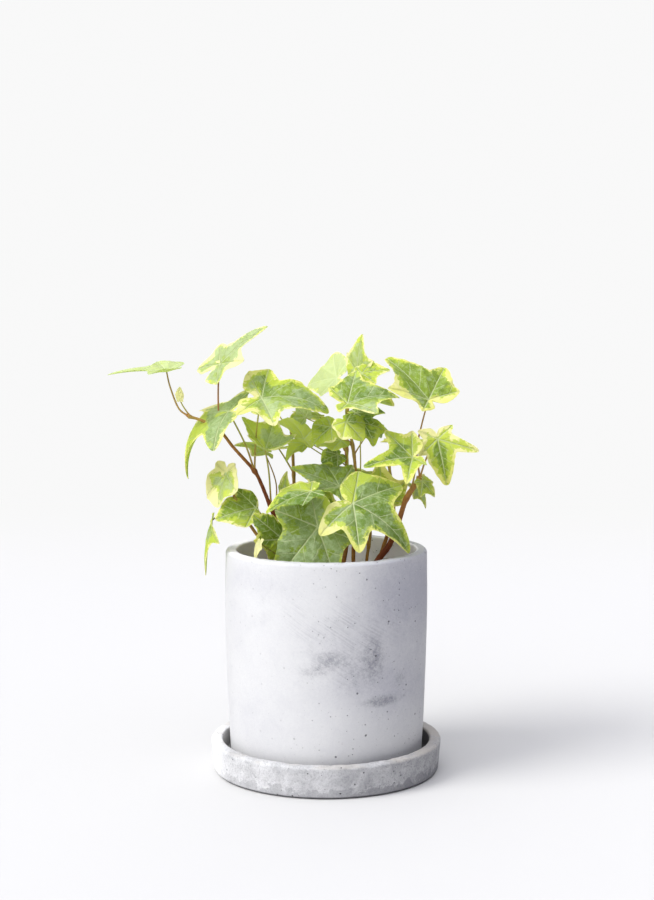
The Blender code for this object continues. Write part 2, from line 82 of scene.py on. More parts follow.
def makePiece(name, shape, material, sharpAngle=None):
    # The skin as a smooth mesh object that stands in the object's frame
    mesh = bpy.data.meshes.new(name)
    faces = shape["quads"].tolist() + shape["fans"].tolist()
    mesh.from_pydata((shape["points"] * mm).tolist(), [], faces)
    for key, values in shape["values"].items():
        attribute = mesh.attributes.new(key, "FLOAT_VECTOR", "POINT")
        attribute.data.foreach_set("vector", values.astype(np.float32).ravel())
    mesh.shade_smooth()
    if sharpAngle:
        mesh.set_sharp_from_angle(angle=radians(sharpAngle))
    mesh.materials.append(material)
    piece = bpy.data.objects.new(name, mesh)
    bpy.context.scene.collection.objects.link(piece)
    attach(piece, "root")
    return piece


def smoothPath(points, step):
    # Points about a step apart along the smooth curve (Catmull-Rom) through the given ones, and
    # for each the share of the way in given points
    points = np.asarray(points, float)
    ends = np.concatenate([[2 * points[0] - points[1]], points, [2 * points[-1] - points[-2]]])
    made, places = [], []
    for i in range(len(points) - 1):
        a, b, c, d = ends[i:i + 4]
        count = max(2, round(np.linalg.norm(c - b) / step))
        t = np.linspace(0, 1, count, endpoint=False)[:, None]
        made.append(0.5 * (2 * b + (c - a) * t + (2 * a - 5 * b + 4 * c - d) * t ** 2
                           + (3 * b - a - 3 * c + d) * t ** 3))
        places.append(i + t[:, 0])
    made.append(points[-1:])
    places.append([len(points) - 1])
    return np.concatenate(made), np.concatenate(places) / (len(points) - 1)


def straight(start, end, count):
    # Points (radius, height) of a straight part of a turned piece's profile, with both ends
    return np.linspace(start, end, count)


def arc(centre, radius, start, end, steps):
    # Points (radius, height) of an arc in such a profile
    angles = np.radians(np.linspace(start, end, steps + 1))
    return np.stack([centre[0] + radius * np.cos(angles), centre[1] + radius * np.sin(angles)], 1)


def turnedRows(profile, columns):
    # The profile carried round the Z axis: a row of points for each of its points
    angles = np.linspace(0, tau, columns, endpoint=False)
    r, z = profile[:, 0, None], profile[:, 1, None]
    return np.stack([r * np.cos(angles), r * np.sin(angles), z + 0 * angles], 2)


def waves(points, length, seed):
    # A smooth random height from -1 to 1 at each point: the mean of sines that run in random
    # directions with wavelengths near the given length
    rng = np.random.default_rng(seed)
    total = 0
    for _ in range(7):
        direction = rng.normal(size=3)
        direction *= tau / (np.linalg.norm(direction) * length * rng.uniform(0.7, 1.5))
        total = total + np.sin(points @ direction + rng.uniform(0, tau))
    return total / 3.5


# Shaders written as Python expressions

class Wire:
    # A node's output, with the operators that its material needs
    def __init__(self, paint, socket):
        self.paint = paint
        self.socket = socket

    def isVector(self):
        return self.socket.type in ("VECTOR", "RGBA")

    def calc(self, operation, *others):
        kind = "ShaderNodeVectorMath" if self.isVector() else "ShaderNodeMath"
        return self.paint.add(kind, dict(operation=operation), dict(enumerate([self, *others])))

    def __add__(self, other):
        return self.calc("ADD", other)

    def __sub__(self, other):
        return self.calc("SUBTRACT", other)

    def __rsub__(self, other):
        return self.paint.add("ShaderNodeMath", dict(operation="SUBTRACT"), {0: other, 1: self})

    def __mul__(self, other):
        if self.isVector() and not isinstance(other, tuple):
            return self.paint.add("ShaderNodeVectorMath", dict(operation="SCALE"),
                                  {0: self, "Scale": other})
        return self.calc("MULTIPLY", other)

    def __truediv__(self, other):
        return self.calc("DIVIDE", other)

    __radd__ = __add__

    def step(self, low, high):
        # 0 below low, 1 above high and smooth between
        return self.paint.add("ShaderNodeMapRange", dict(interpolation_type="SMOOTHSTEP"),
                              {"Value": self, "From Min": low, "From Max": high})

    def part(self, axis):
        return self.paint.add("ShaderNodeSeparateXYZ", {}, {0: self}, axis)


class Paint:
    # A material and its nodes
    def __init__(self, name):
        self.material = bpy.data.materials.new(name)
        self.material.use_nodes = True
        self.tree = self.material.node_tree
        self.tree.nodes.clear()

    def add(self, kind, settings={}, inputs={}, output=0):
        node = self.tree.nodes.new(kind)
        for key, value in settings.items():
            setattr(node, key, value)
        for key, value in inputs.items():
            if isinstance(value, Wire):
                self.tree.links.new(value.socket, node.inputs[key])
            elif isinstance(value, tuple) and len(value) == 3 and node.inputs[key].type == "RGBA":
                node.inputs[key].default_value = (*value, 1)
            else:
                node.inputs[key].default_value = value
        return Wire(self, node.outputs[output])

    def place(self):
        # The point on the piece, in millimetres
        return self.add("ShaderNodeTexCoord", {}, {}, "Object") * (1 / mm)

    def attribute(self, name):
        return self.add("ShaderNodeAttribute", dict(attribute_name=name), {}, "Vector")

    def noise(self, place, size, detail=3.0, roughness=0.5, distortion=0.0):
        # Values near 0.5 that vary over about that many millimetres
        return self.add("ShaderNodeTexNoise", {}, {
            "Vector": place * (1 / size), "Scale": 1.0, "Detail": detail,
            "Roughness": roughness, "Distortion": distortion})

    def cells(self, place, size, feature="F1", output="Distance"):
        return self.add("ShaderNodeTexVoronoi", dict(feature=feature),
                        {"Vector": place * (1 / size), "Scale": 1.0}, output)

    def mix(self, share, first, second):
        # A colour between two
        return self.add("ShaderNodeMix", dict(data_type="RGBA"), {0: share, 6: first, 7: second}, 2)

    def bump(self, height, depth):
        # A relief of that depth in millimetres
        return self.add("ShaderNodeBump", {}, {"Height": height, "Distance": depth * mm}, "Normal")

    def principled(self, **values):
        inputs = {key.replace("_", " "): value for key, value in values.items()}
        return self.add("ShaderNodeBsdfPrincipled", {}, inputs, "BSDF")

    def finish(self, shader):
        output = self.tree.nodes.new("ShaderNodeOutputMaterial")
        self.tree.links.new(shader.socket, output.inputs["Surface"])
        return self.material


# Saucer

saucer = dict(
    height=19.4, footRadius=70.0, topRadius=71.5, innerRadius=64.3, floor=8.0, edge=1.6,
    hub=4.0, columns=288,   # the rows stop at the hub's radius, and a fan closes them
    wobble=0.18,            # how far the cast surface strays
    chip=0.35,              # how far the rim's corners are worn
    seed=11,
    # pinholes: the size of their cells and their radius in mm, the share left out, and their depth
    pits=((4.6, 0.48, 0.60, 1.0), (2.6, 0.27, 0.55, 0.8), (1.5, 0.16, 0.5, 0.5)),
    cloudSize=13, speckSize=1.3, gritSize=0.55, grainSize=0.9, warmSize=20,
    # the damp band's upper edge: its waves, and how much each adds to its height
    tides=((7.5, 4, 0.65, 24.0), (2.0, 2, 0.5, 3.0)), tideBase=-8.5,
    # where a colour starts and where it is full: across for the ends, up for the foot and the rim
    paintedShadeAcross=(-50, 60), speckAcross=(10, 70), dampAcross=(-20, 60), warmAcross=(20, 60),
    leftEnd=(-72, -56), footShade=(0.4, 1.7), rimTop=(17.4, 19.0),
    pale=(0.68, 0.68, 0.68), grey=(0.34, 0.34, 0.35), damp=(0.15, 0.15, 0.165), wet=(0.07, 0.065, 0.06),
    hole=(0.07, 0.07, 0.075), warm=(0.44, 0.41, 0.37), paintedLight=(0.92, 0.92, 0.92))
# the lengths of a cast surface's waves, and how far from its top it is worn
castWaves = dict(slow=55, short=7, shorter=3.1, wornHeight=1.6)


def saucerProfile(s):
    # Out along the underside, up the wall, over its top and down inside to the floor
    edge, inner, floor = s["edge"], s["innerRadius"], s["floor"]
    foot = s["footRadius"] - edge
    rim = s["height"] - edge
    return np.concatenate([
        straight((s["hub"], 0), (foot - 1, 0), 16),
        arc((foot, edge), edge, -90, 0, 6),
        straight((s["footRadius"], edge), (s["topRadius"], rim), 14)[1:-1],
        arc((s["topRadius"] - edge, rim), edge, 0, 90, 6),
        arc((inner + edge, rim), edge, 90, 180, 6),
        straight((inner, rim), (inner, floor + edge), 8)[1:-1],
        arc((inner - edge, floor + edge), edge, 0, -90, 5),
        straight((inner - edge - 1, floor), (s["hub"], floor), 16)])


def concreteRows(profile, s, height):
    # The turned profile, moved in and out by slow waves, and up and down by short ones near its top
    rows, seed = turnedRows(profile, s["columns"]), s["seed"]
    radial = rows.copy()
    radial[..., 2] = 0
    radial /= np.maximum(np.linalg.norm(radial, axis=2, keepdims=True), 0.001)
    slow = waves(rows, castWaves["slow"], seed)
    near = np.exp(-((rows[..., 2] - height) / castWaves["wornHeight"]) ** 2)
    worn = waves(rows, castWaves["short"], seed + 1) + waves(rows, castWaves["shorter"], seed + 2) * 0.5
    rows += radial * slow[..., None] * s["wobble"]
    rows[..., 2] += near * np.minimum(worn, 0.2) * s["chip"]
    return rows


def pinholes(p, at, sets):
    # 1 in pinholes, one at most to a cell of each set, and 0 between them
    pits = 0.0
    for size, radius, share, depth in sets:
        hole = 1 - p.cells(at, size).step(radius / size * 0.7, radius / size * 1.3)
        pits = pits + hole * p.cells(at, size, output="Color").part(0).step(share, share + 0.02) * depth
    return pits


def fromAxis(x, y):
    # The distance from the pot's axis
    return (x * x + y * y).calc("SQRT")


def saucerConcrete(s):
    # Speckled grey cement with pinholes, painted lighter at its left end, with painted shade that
    # darkens it to the right, darker in a wavy band that has drawn water up from below, warmer in
    # places on the rim, damp and painted near black as shade in its well, and a painted shadow
    # under its foot
    p = Paint("saucerConcrete")
    at = p.place()
    x, y, z = at.part(0), at.part(1), at.part(2)
    cloud = p.noise(at, s["cloudSize"], 5, 0.66, 0.5)
    speck = p.noise(at, s["speckSize"], 4, 0.7)
    grit = p.noise(at, s["gritSize"], 3, 0.7)
    # grey clouds, and painted shade that greys the cement more towards the right, away from the light
    colour = p.mix(cloud.step(0.30, 0.74) * 0.60 + x.step(*s["paintedShadeAcross"]) * 0.56, s["pale"], s["grey"])
    specked = 0.32 + x.step(*s["speckAcross"]) * 0.26
    colour = p.mix(speck.step(0.46, 0.66) * specked, colour, s["damp"])
    colour = p.mix(grit.step(0.50, 0.70) * 0.30, colour, s["damp"])
    tide = sum(p.noise(at, *wave) * rise for *wave, rise in s["tides"]) + s["tideBase"]
    wet = 1 - (z - tide).step(-0.5, 0.5)
    colour = p.mix(wet * (0.32 + x.step(*s["dampAcross"]) * 0.20), colour, s["damp"])
    # painted shade: the well inside the inner wall, round the pot's foot, is damp and also painted near
    # black as the shade in the gap
    wellShade = 1 - fromAxis(x, y).step(s["innerRadius"] + 0.3, s["innerRadius"] + 1.1)
    colour = p.mix(wellShade * 0.85, colour, s["wet"])
    # painted shadow: the lowest millimetres of the foot take the pinholes' dark colour, as the shadow
    # where it meets the floor
    colour = p.mix((1 - z.step(*s["footShade"])) * 0.9, colour, s["hole"])
    # painted light: the saucer's left end made nearly white, as where the light falls on it
    colour = p.mix((1 - x.step(*s["leftEnd"])) * 0.8, colour, s["paintedLight"])
    warmth = p.noise(at, s["warmSize"], 3).step(0.40, 0.6) * 0.5 + x.step(*s["warmAcross"]) * 0.3
    colour = p.mix(z.step(*s["rimTop"]) * warmth, colour, s["warm"])
    pits = pinholes(p, at, s["pits"])
    colour = p.mix(pits * 0.85, colour, s["hole"])
    grain = p.noise(at, s["grainSize"], 4, 0.65)
    relief = p.bump(grain * 0.6 - pits * 1.4 + cloud * 0.5 + speck * 0.3, 0.4)
    return p.finish(p.principled(Base_Color=colour, Roughness=0.84 + cloud * 0.12, Normal=relief))


saucerRows = concreteRows(saucerProfile(saucer), saucer, saucer["height"])
saucerShape = skin(saucerRows, (0, 0, 0), (0, 0, saucer["floor"]))
saucerPiece = makePiece("saucerBody", saucerShape, saucerConcrete(saucer))
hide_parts("saucer")
print("saucer made")


# Pot

pot = dict(
    bottom=8.3, rim=137.8, footRadius=59.6, lowRadius=61.2, wideRadius=62.7, rimRadius=62.3,
    lowHeight=46.0, wideHeight=98.0, mouthRadius=55.5, wellRadius=53.5, floor=19.3, drainRadius=7.0,
    rimEdge=2.2, mouthEdge=1.3, footEdge=3.0, wallStep=2.4, columns=320,
    wobble=0.22, chip=0.22, seed=23,
    pale=(0.635, 0.635, 0.63), cool=(0.40, 0.40, 0.445), smoke=(0.18, 0.18, 0.21),
    hole=(0.07, 0.07, 0.085), inner=(0.95, 0.92, 1.0),
    cloudSize=38, patchSize=12, mottleSize=2.6, fineSize=1.1, grainSize=0.8,
    # where a colour starts and where it is full: across, back, up, and out from the axis
    coolAcross=(-45, 25), leftEnd=(-58, -34), pitsAcross=(-30, 15), sideToBack=(-20, 10),
    coolRim=(135.2, 137.4), rimTop=(136.4, 137.7), mouth=(56.0, 57.5),
    brushSlope=-34, brushSize=(24, 0.9, 30),    # the brush marks' fall, and their length, width and depth
    # pinholes: the size of their cells and their radius in mm, the share left out, and their depth
    pits=((6.2, 0.62, 0.62, 1.0), (3.4, 0.36, 0.55, 0.9), (2.0, 0.20, 0.5, 0.6)),
    # soft spots on the front: middle (x, z), half width and half height, strength
    smears=(((2, 81), (13, 8), 0.9), ((-8, 74), (12, 5), 0.7), ((28, 80), (10, 22), 1.2),
            ((33, 54), (16, 5), 1.7), ((44, 66), (6, 8), 0.7), ((16, 72), (10, 18), 0.45),
            ((4, 78), (34, 30), 0.35)),
    blotchesAndShade=(((54, 118), (50, 46), 1.0), ((52, 60), (38, 44), 0.60), ((10, 92), (34, 26), 0.30),
            ((24, 66), (34, 26), 0.40), ((-40, 124), (40, 14), 0.30), ((-46, 44), (18, 26), 0.2)),
    brushed=(((2, 100), (34, 26), 1.0), ((30, 100), (30, 22), 0.7), ((10, 72), (34, 20), 0.5),
             ((-30, 112), (24, 14), 0.35)))


def potProfile(s):
    # Out from the drain hole, up the outside, over the rim, down the inside and back to the hole
    rim, mouth, foot = s["rimEdge"], s["mouthEdge"], s["footEdge"]
    wall = smoothPath([(s["footRadius"], s["bottom"] + foot), (s["lowRadius"], s["lowHeight"]),
                       (s["wideRadius"], s["wideHeight"]), (s["rimRadius"], s["rim"] - rim)],
                      s["wallStep"])[0]
    drain, bottom, floor = s["drainRadius"], s["bottom"], s["floor"]
    return np.concatenate([
        straight((drain, bottom), (s["footRadius"] - foot - 1, bottom), 12),
        arc((s["footRadius"] - foot, bottom + foot), foot, -90, 0, 7)[:-1],
        wall[:-1],
        arc((s["rimRadius"] - rim, s["rim"] - rim), rim, 0, 90, 8),
        arc((s["mouthRadius"] + mouth, s["rim"] - mouth), mouth, 90, 180, 6),
        straight((s["mouthRadius"], s["rim"] - mouth), (s["wellRadius"], floor + foot), 26)[1:-1],
        arc((s["wellRadius"] - foot, floor + foot), foot, 0, -90, 5),
        straight((s["wellRadius"] - foot - 1, floor), (drain, floor), 12)])


def potConcrete(s):
    # Pale cement with faint clouds, brushed streaks that fall to the right, smoky smears and cool
    # blotches on the front that are also painted shade, strongest on the right, painted shade on the
    # rim's top towards the right, painted light on the mouth, the inner wall and the rim's left end,
    # and small pinholes
    p = Paint("potConcrete")
    at = p.place()
    x, y, z = at.part(0), at.part(1), at.part(2)

    def spread(spots):
        # The sum of soft spots on the front, each 1 in its middle and 0 outside its half sizes
        total = 0.0
        for (middleX, middleZ), (halfX, halfZ), strength in spots:
            dx, dz = (x - middleX) / halfX, (z - middleZ) / halfZ
            total = total + (1 - (dx * dx + dz * dz).calc("SQRT").step(0.0, 1.1)) * strength
        return total * (1 - y.step(*s["sideToBack"]))

    cloud = p.noise(at, s["cloudSize"], 5, 0.6, 0.5)
    patch = p.noise(at + (40.0, 10.0, 0.0), s["patchSize"], 5, 0.66, 0.4)
    mottle = p.noise(at, s["mottleSize"], 5, 0.72, 0.4).step(0.36, 0.66)
    fine = p.noise(at, s["fineSize"], 4, 0.7).step(0.40, 0.66)
    colour = p.mix(cloud.step(0.40, 0.70) * 0.14 + patch.step(0.50, 0.75) * 0.12, s["pale"], s["cool"])
    # painted shade as well as blotches: cool spots on the front, largest and strongest on the right, away
    # from the light
    cool = spread(s["blotchesAndShade"]) * (0.55 + patch * 0.7 + mottle * 0.15)
    cooled = cool.step(-0.1, 1.1) * 0.9 + fine * (0.10 + cool * 0.15) + mottle * 0.05
    colour = p.mix(cooled, colour, s["cool"])
    slope = radians(s["brushSlope"])
    along, across = x * cos(slope) + z * sin(slope), z * cos(slope) - x * sin(slope)
    marks = dict(enumerate(way * (1 / size) for way, size in zip((along, across, y), s["brushSize"])))
    streak = p.noise(p.add("ShaderNodeCombineXYZ", {}, marks), 1, 4, 0.6, 0.35)
    brushed = streak.step(0.42, 0.68) * (spread(s["brushed"]) + y.step(*s["sideToBack"]) * 0.25)
    brushed = brushed * patch.step(0.36, 0.62)
    colour = p.mix(brushed * 0.30, colour, s["smoke"])
    smoke = spread(s["smears"]) * (0.35 + mottle * 0.45 + brushed * 0.5 + fine * 0.2)
    colour = p.mix(smoke.step(0.0, 1.2) * 0.72, colour, s["smoke"])
    # painted shade: the rim's upper edge cooler and darker towards the right
    colour = p.mix(z.step(*s["coolRim"]) * x.step(*s["coolAcross"]) * 0.40, colour, s["cool"])
    # painted light: the rim's top made paler at its left end, where the leaves shade it
    colour = p.mix(z.step(*s["rimTop"]) * (1 - x.step(*s["leftEnd"])) * 0.8, colour, s["inner"])
    # painted light: the mouth and the inner wall made nearly white where the leaves shade them
    colour = p.mix(1 - fromAxis(x, y).step(*s["mouth"]), colour, s["inner"])
    pits = pinholes(p, at, s["pits"]) * (0.2 + x.step(*s["pitsAcross"]) * 0.8)
    colour = p.mix(pits * 0.8, colour, s["hole"])
    grain = p.noise(at, s["grainSize"], 4, 0.6)
    relief = p.bump(grain * 0.30 - pits * 1.3 + patch * 0.6 - brushed * 0.2, 0.3)
    return p.finish(p.principled(Base_Color=colour, Roughness=0.80 + cloud * 0.12, Normal=relief))


potRows = concreteRows(potProfile(pot), pot, pot["rim"])
potShape = dict(points=potRows.reshape(-1, 3), quads=gridFaces(*potRows.shape[:2], closedRows=True),
                fans=np.zeros((0, 3), int), values={})
potPiece = makePiece("potBody", potShape, potConcrete(pot))
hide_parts("pot")
print("pot made")


# Soil

soil = dict(
    top=115.0, floor=19.6, radius=54.3, footRadius=52.8, rings=56, columns=220, bump=1.3,
    waves=((24, 31, 0.8), (6, 32, 0.5), (2.6, 33, 0.35)),       # each one's length, seed and share
    crumbs=1400, crumbSize=(0.7, 2.3), spread=53.0, seed=5, sharpAngle=20,
    mixSize=1.6, barkSize=4.0, grainSize=1.1,
    dark=(0.028, 0.018, 0.012), brown=(0.085, 0.052, 0.032), straw=(0.24, 0.16, 0.09))


def soilSkin(s):
    # Up the side from the floor, then in over a top that slow and short waves raise and lower
    side = straight((s["footRadius"], s["floor"]), (s["radius"], s["top"] - 1), 12)
    top = straight((s["radius"] - 0.2, s["top"]), (1.0, s["top"]), s["rings"])
    rows = turnedRows(np.concatenate([side, top]), s["columns"])
    flat = rows[len(side):]
    height = sum(waves(flat, length, seed) * share for length, seed, share in s["waves"])
    fade = np.clip((s["radius"] - np.hypot(flat[..., 0], flat[..., 1])) / 3, 0, 1)
    flat[..., 2] += height * fade * s["bump"]
    return skin(rows, (0, 0, s["floor"]), (0, 0, flat[-1, :, 2].mean()))


def soilCrumbs(s):
    # Crumbs and bits of bark: twelve-cornered lumps (the corners of three crossed golden
    # rectangles), each stretched, turned and set on the soil at random
    rng = np.random.default_rng(s["seed"])
    golden = (1 + 5 ** 0.5) / 2
    corners = np.array([(0, a, b * golden) for a in (-1, 1) for b in (-1, 1)])
    corners = np.concatenate([corners, np.roll(corners, 1, 1), np.roll(corners, 2, 1)]) / hypot(1, golden)
    apart = np.linalg.norm(corners[:, None] - corners[None], axis=2)
    near = (apart > 0.1) & (apart < 1.2)
    faces = np.array([(a, b, c) for a in range(12) for b in range(a + 1, 12) for c in range(b + 1, 12)
                      if near[a, b] and near[b, c] and near[a, c]])
    a, b, c = corners[faces[:, 0]], corners[faces[:, 1]], corners[faces[:, 2]]
    inward = np.einsum("ij,ij->i", np.cross(b - a, c - a), a) < 0
    faces[inward] = faces[inward][:, ::-1]
    count = s["crumbs"]
    size = rng.uniform(*s["crumbSize"], count) * rng.uniform(0.6, 1, count)
    stretch = rng.uniform(0.45, 1.3, (count, 1, 3))
    lumps = corners * rng.uniform(0.75, 1.2, (count, 12, 1)) * stretch * size[:, None, None]
    turns = np.linalg.qr(rng.normal(size=(count, 3, 3)))[0]
    turns *= np.sign(np.linalg.det(turns))[:, None, None]
    lumps = np.einsum("nij,nkj->nki", turns, lumps)
    angle, out = rng.uniform(0, tau, count), s["spread"] * np.sqrt(rng.uniform(0, 1, count))
    middle = np.stack([out * np.cos(angle), out * np.sin(angle), s["top"] + size * 0.25], 1)
    points = (lumps + middle[:, None]).reshape(-1, 3)
    fans = (faces[None] + 12 * np.arange(count)[:, None, None]).reshape(-1, 3)
    return dict(points=points, quads=np.zeros((0, 4), int), fans=fans, values={})


def pottingMix(s, name, size):
    # Dark compost with browner and straw-coloured bits
    p = Paint(name)
    at = p.place()
    bits = p.cells(at, size, output="Color")
    colour = p.mix(bits.part(0), s["dark"], s["brown"])
    colour = p.mix(bits.part(1).step(0.86, 0.92) * 0.8, colour, s["straw"])
    relief = p.bump(p.noise(at, s["grainSize"], 4, 0.7), 0.5)
    return p.finish(p.principled(Base_Color=colour, Roughness=0.95, Normal=relief))


mixMaterial = pottingMix(soil, "pottingMix", soil["mixSize"])
soilPiece = makePiece("soilBody", soilSkin(soil), mixMaterial)
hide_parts("soil")
barkMaterial = pottingMix(soil, "barkCrumbs", soil["barkSize"])
makePiece("soilCrumbs", soilCrumbs(soil), barkMaterial, soil["sharpAngle"])
print("soil made")


# Ivy: the stems stand where the solid part's do

leafForm = dict(
    lobes=(0.52, 0.78, 1.0, 0.78, 0.52),    # each lobe's length beside the middle one's
    turn=(-112, -54, 0, 54, 112),           # its direction from the tip
    bend=(25, 25, 25, 25, 25),              # the angle that it bends down through
    point=(32, 32, 32, 32, 32),             # half the angle of its end
    fullTo=26.0, fade=30.0,                 # the angle to which it stays full, and over which it fades
    blend=6, notch=0.06,                    # how sharply lobes meet, and the least reach between them
    fold=6.0,                               # how much more a blade rises between two veins
    thickness=0.42, edgeThinner=0.55,       # in mm, and how much of it the margin lacks
    rays=240, rings=17,                     # the blade's grid
    smallLeaf=24.0, smallRays=120, smallRings=11,           # and a coarser one for shorter leaves
    ringPower=0.9,                          # below 1, the rings lie closer together at the margin
    uneven=0.02,                            # how far the margin strays, as a share of its distance
    strayWaves=(5, 9, 14, 23), rippleWaves=(4, 7, 11),      # waves round a leaf, in its margin and height
    toothTurn=9.0,                          # the angle from one tooth of the margin to the next
    wave=0.018,                             # how high the margin waves, as a share of the length
    groove=0.32, grooveWidth=0.9,           # the veins' depth and width
    quilt=0.40, quiltFrom=0.12,             # the swellings' height, full at that distance from a vein
    flatEdge=0.10,                          # and their end: both distances are shares of the length
    ribSpacing=0.24, ribSlant=0.9,          # the side veins' distance, as a share of the length
    fullRelief=36.0,                        # the length from which a leaf has all its relief
    youngRelief=0.1, youngWave=0.3,         # and what a young one has of it
    sharpAngle=60)
stalkForm = dict(
    radius=0.60, tipRadius=0.45, small=0.8,     # small leaves' stalks are thinner
    flare=0.40, flareLength=1.6, sink=0.15,     # its wider foot, and how far it ends below the blade
    sides=12, step=1.0, wood=0.35)
stemForm = dict(
    sides=20, step=0.9, knot=0.30, knotLength=1.8, knotReach=3.0, bark=0.08, barkWave=3.4, foot=101.3,
    wood=0.6, woodLoss=0.75, red=0.5)           # how woody a stem is, and what it loses up to its end


def leaf(at, tip, face, stalk, lobes=leafForm["lobes"], turn=leafForm["turn"], bend=leafForm["bend"],
         rise=5, point=leafForm["point"], blunt=5, look=(2.2, 0.35, 0.3), grey=0.5, teeth=0.0, red=0.2):
    # at is where the stalk joins the blade, tip the middle lobe's end, face the way the upper side
    # looks, stalk its points from the stem on, rise the angle at which the blade leaves the joint,
    # and blunt how far round the lobes' ends are. look is the width of the cream margin in mm, how
    # far lime reaches in, and the green from pale (-1) to deep (1), each one number or one for each
    # lobe in the order of their turns. The green is partly painted light: paler, with brighter lime,
    # on leaves in shade and as a painted sheen, and deeper on sunlit leaves. grey is the share of its
    # patches that are grey-green, which are partly a painted sheen, teeth how deep its margin is cut,
    # and red how red its stalk is.
    return dict(at=at, tip=tip, face=face, stalk=stalk, lobes=lobes, turn=turn, bend=bend, rise=rise,
                point=point, blunt=blunt, look=look, grey=grey, teeth=teeth, red=red)


def backLeaf(at, tip, face, stalk):
    # A leaf behind the plant, which has the usual lobes
    return leaf(at, tip, face, stalk, lobes=(0.5, 0.75, 1.0, 0.8, 0.55), bend=(20, 30, 35, 30, 20))


# Each vine: its radius at the foot and at the end, how woody it is where that is told, its stem's
# points from the soil up, and its leaves
vines = {}
vines["vine_left"] = dict(
    radii=(1.35, 0.85), wood=0.9,
    stem=[(-18, 4, 118), (-25, 1, 138), (-33, -2, 160), (-40, -3, 178), (-44, -4, 186), (-50, -5, 193),
          (-57, -6, 201), (-65, -7, 211), (-75, -8, 217), (-84, -8, 220)],
    leaves=[
        leaf((-97, -8, 247), (-133, -8, 245), (-0.1, -0.1, 1),
             [(-84, -8, 220), (-90, -8, 225), (-95, -8, 238)], lobes=(0.55, 0.62, 1, 0.62, 0.55),
             turn=(-115, -68, 0, 72, 115), bend=(5, 20, 20, 5, 15), rise=12, point=(32, 30, 16, 30, 32),
             look=(-6, 0.1, -0.9), red=0.6),
        leaf((-89, -9, 230), (-89, -9, 238), (-0.2, -0.9, 0.2), [(-83, -8, 220), (-87, -9, 226)],
             lobes=(0.3, 0.4, 1, 0.4, 0.3), look=(6, 0.5, -0.9)),
        leaf((-65, 0, 251), (-36, 6, 274), (-0.5, -0.4, 0.8),
             [(-65, -7, 211), (-66, -4, 227), (-66, -1, 241)], lobes=(0.6, 0.65, 1, 0.6, 0.55),
             turn=(-120, -65, 0, 60, 120), rise=7, point=(32, 28, 18, 42, 46),
             look=((2.5, 5, 0.3, 5, 0), (0.2, 0.1, 0, 0.1, 0), (-0.4, -0.4, -0.3, -0.4, -0.3)), grey=0.95,
             red=0.9),
        leaf((-59, -12, 223), (-85, -5, 181), (-0.8, -0.2, 0.5),
             [(-44, -4, 186), (-49, -9, 202), (-56, -12, 217)], lobes=(0.15, 0.7, 1, 0.7, 0.65),
             turn=(-110, -65, 0, 60, 125), bend=(30, 50, 80, 20, 15), point=(20, 26, 18, 12, 16), blunt=7,
             look=((1.5, 1.5, 1.0, 2, 2), (0, 0.05, 1.8, 0, 0), (0.1, 0, 0.2, -0.2, 0)), grey=0.95),
        leaf((-39, -14, 231), (2, -11, 221), (0.2, -0.5, 0.8),
             [(-44, -4, 186), (-43, -9, 205), (-41, -12, 222)], lobes=(0.55, 0.6, 1, 0.7, 0.55),
             turn=(-115, -85, 0, 70, 120), bend=(10, 20, 70, 40, 25), rise=15,
             look=((5, 1, 0.8, 2, 3), (0.3, 0.7, 0.1, 0.3, 0.5), (-0.3, 0.5, 0.1, -0.4, 0.1)),
             teeth=0.04),
        leaf((-37, -14, 200), (-51, -1, 219), (0.5, -0.5, 0.7), [(-34, -2, 165), (-35, -8, 185)],
             lobes=(0.5, 0.55, 1, 1, 0.8), turn=(-110, -55, 0, 50, 110), bend=(-25, -35, -10, -35, -30),
             rise=20, look=(0.5, (0.3, 1.6, 1.6, 0.3, 0.2), (-0.3, -0.7, -0.7, -0.4, -0.2)), grey=0.8),
        leaf((-38, 6, 197), (-57, 2, 201), (0.2, -0.2, 1), [(-32, -1, 158), (-31, 4, 177)],
             lobes=(0.5, 0.85, 1, 0.95, 0.5), look=(0.6, 0.9, -0.3), red=0.7)])
vines["vine_left_low"] = dict(
    radii=(1.3, 0.8),
    stem=[(-30, -10, 118), (-36, -14, 138), (-44, -17, 151), (-50, -15, 160), (-56, -12, 171)],
    leaves=[
        leaf((-43, -12, 164), (-67, -21, 158), (-0.2, -0.8, 0.6),
             [(-31, -10, 122), (-29, -4, 143), (-35, -7, 154)], lobes=(0.15, 0.62, 1, 0.75, 0.2),
             turn=(-110, -46, 0, 70, 125), bend=(25, 25, 30, 20, 25), point=(20, 30, 45, 32, 20),
             look=((0.8, 1, 1, 0.5, 0.5), (0.3, 0.6, 0.4, 0.1, 0.1), (0, -0.2, 0, 0.9, 1)), grey=0.3,
             teeth=0.03),
        leaf((-61, -8, 185), (-66, -16, 165), (-0.7, -0.5, 0.5), [(-56, -12, 171)],
             lobes=(0.5, 0.85, 1, 0.95, 0.6), turn=(-115, -50, 0, 50, 125), bend=(15, 30, 15, 25, 20),
             rise=12, point=(28, 50, 40, 50, 28), blunt=12, look=(4.5, 0.3, -0.5)),
        leaf((-70, -6, 156), (-74, -9, 122), (-1, -0.05, 0.1), [(-50, -15, 160), (-60, -7, 163)],
             lobes=(0.3, 0.6, 1, 0.5, 0.3), turn=(-110, -50, 0, 50, 110), bend=(20, 80, 15, 20, 20),
             rise=2, point=(24, 24, 20, 24, 24), look=(0.6, 0.8, -0.1), grey=0.2)])
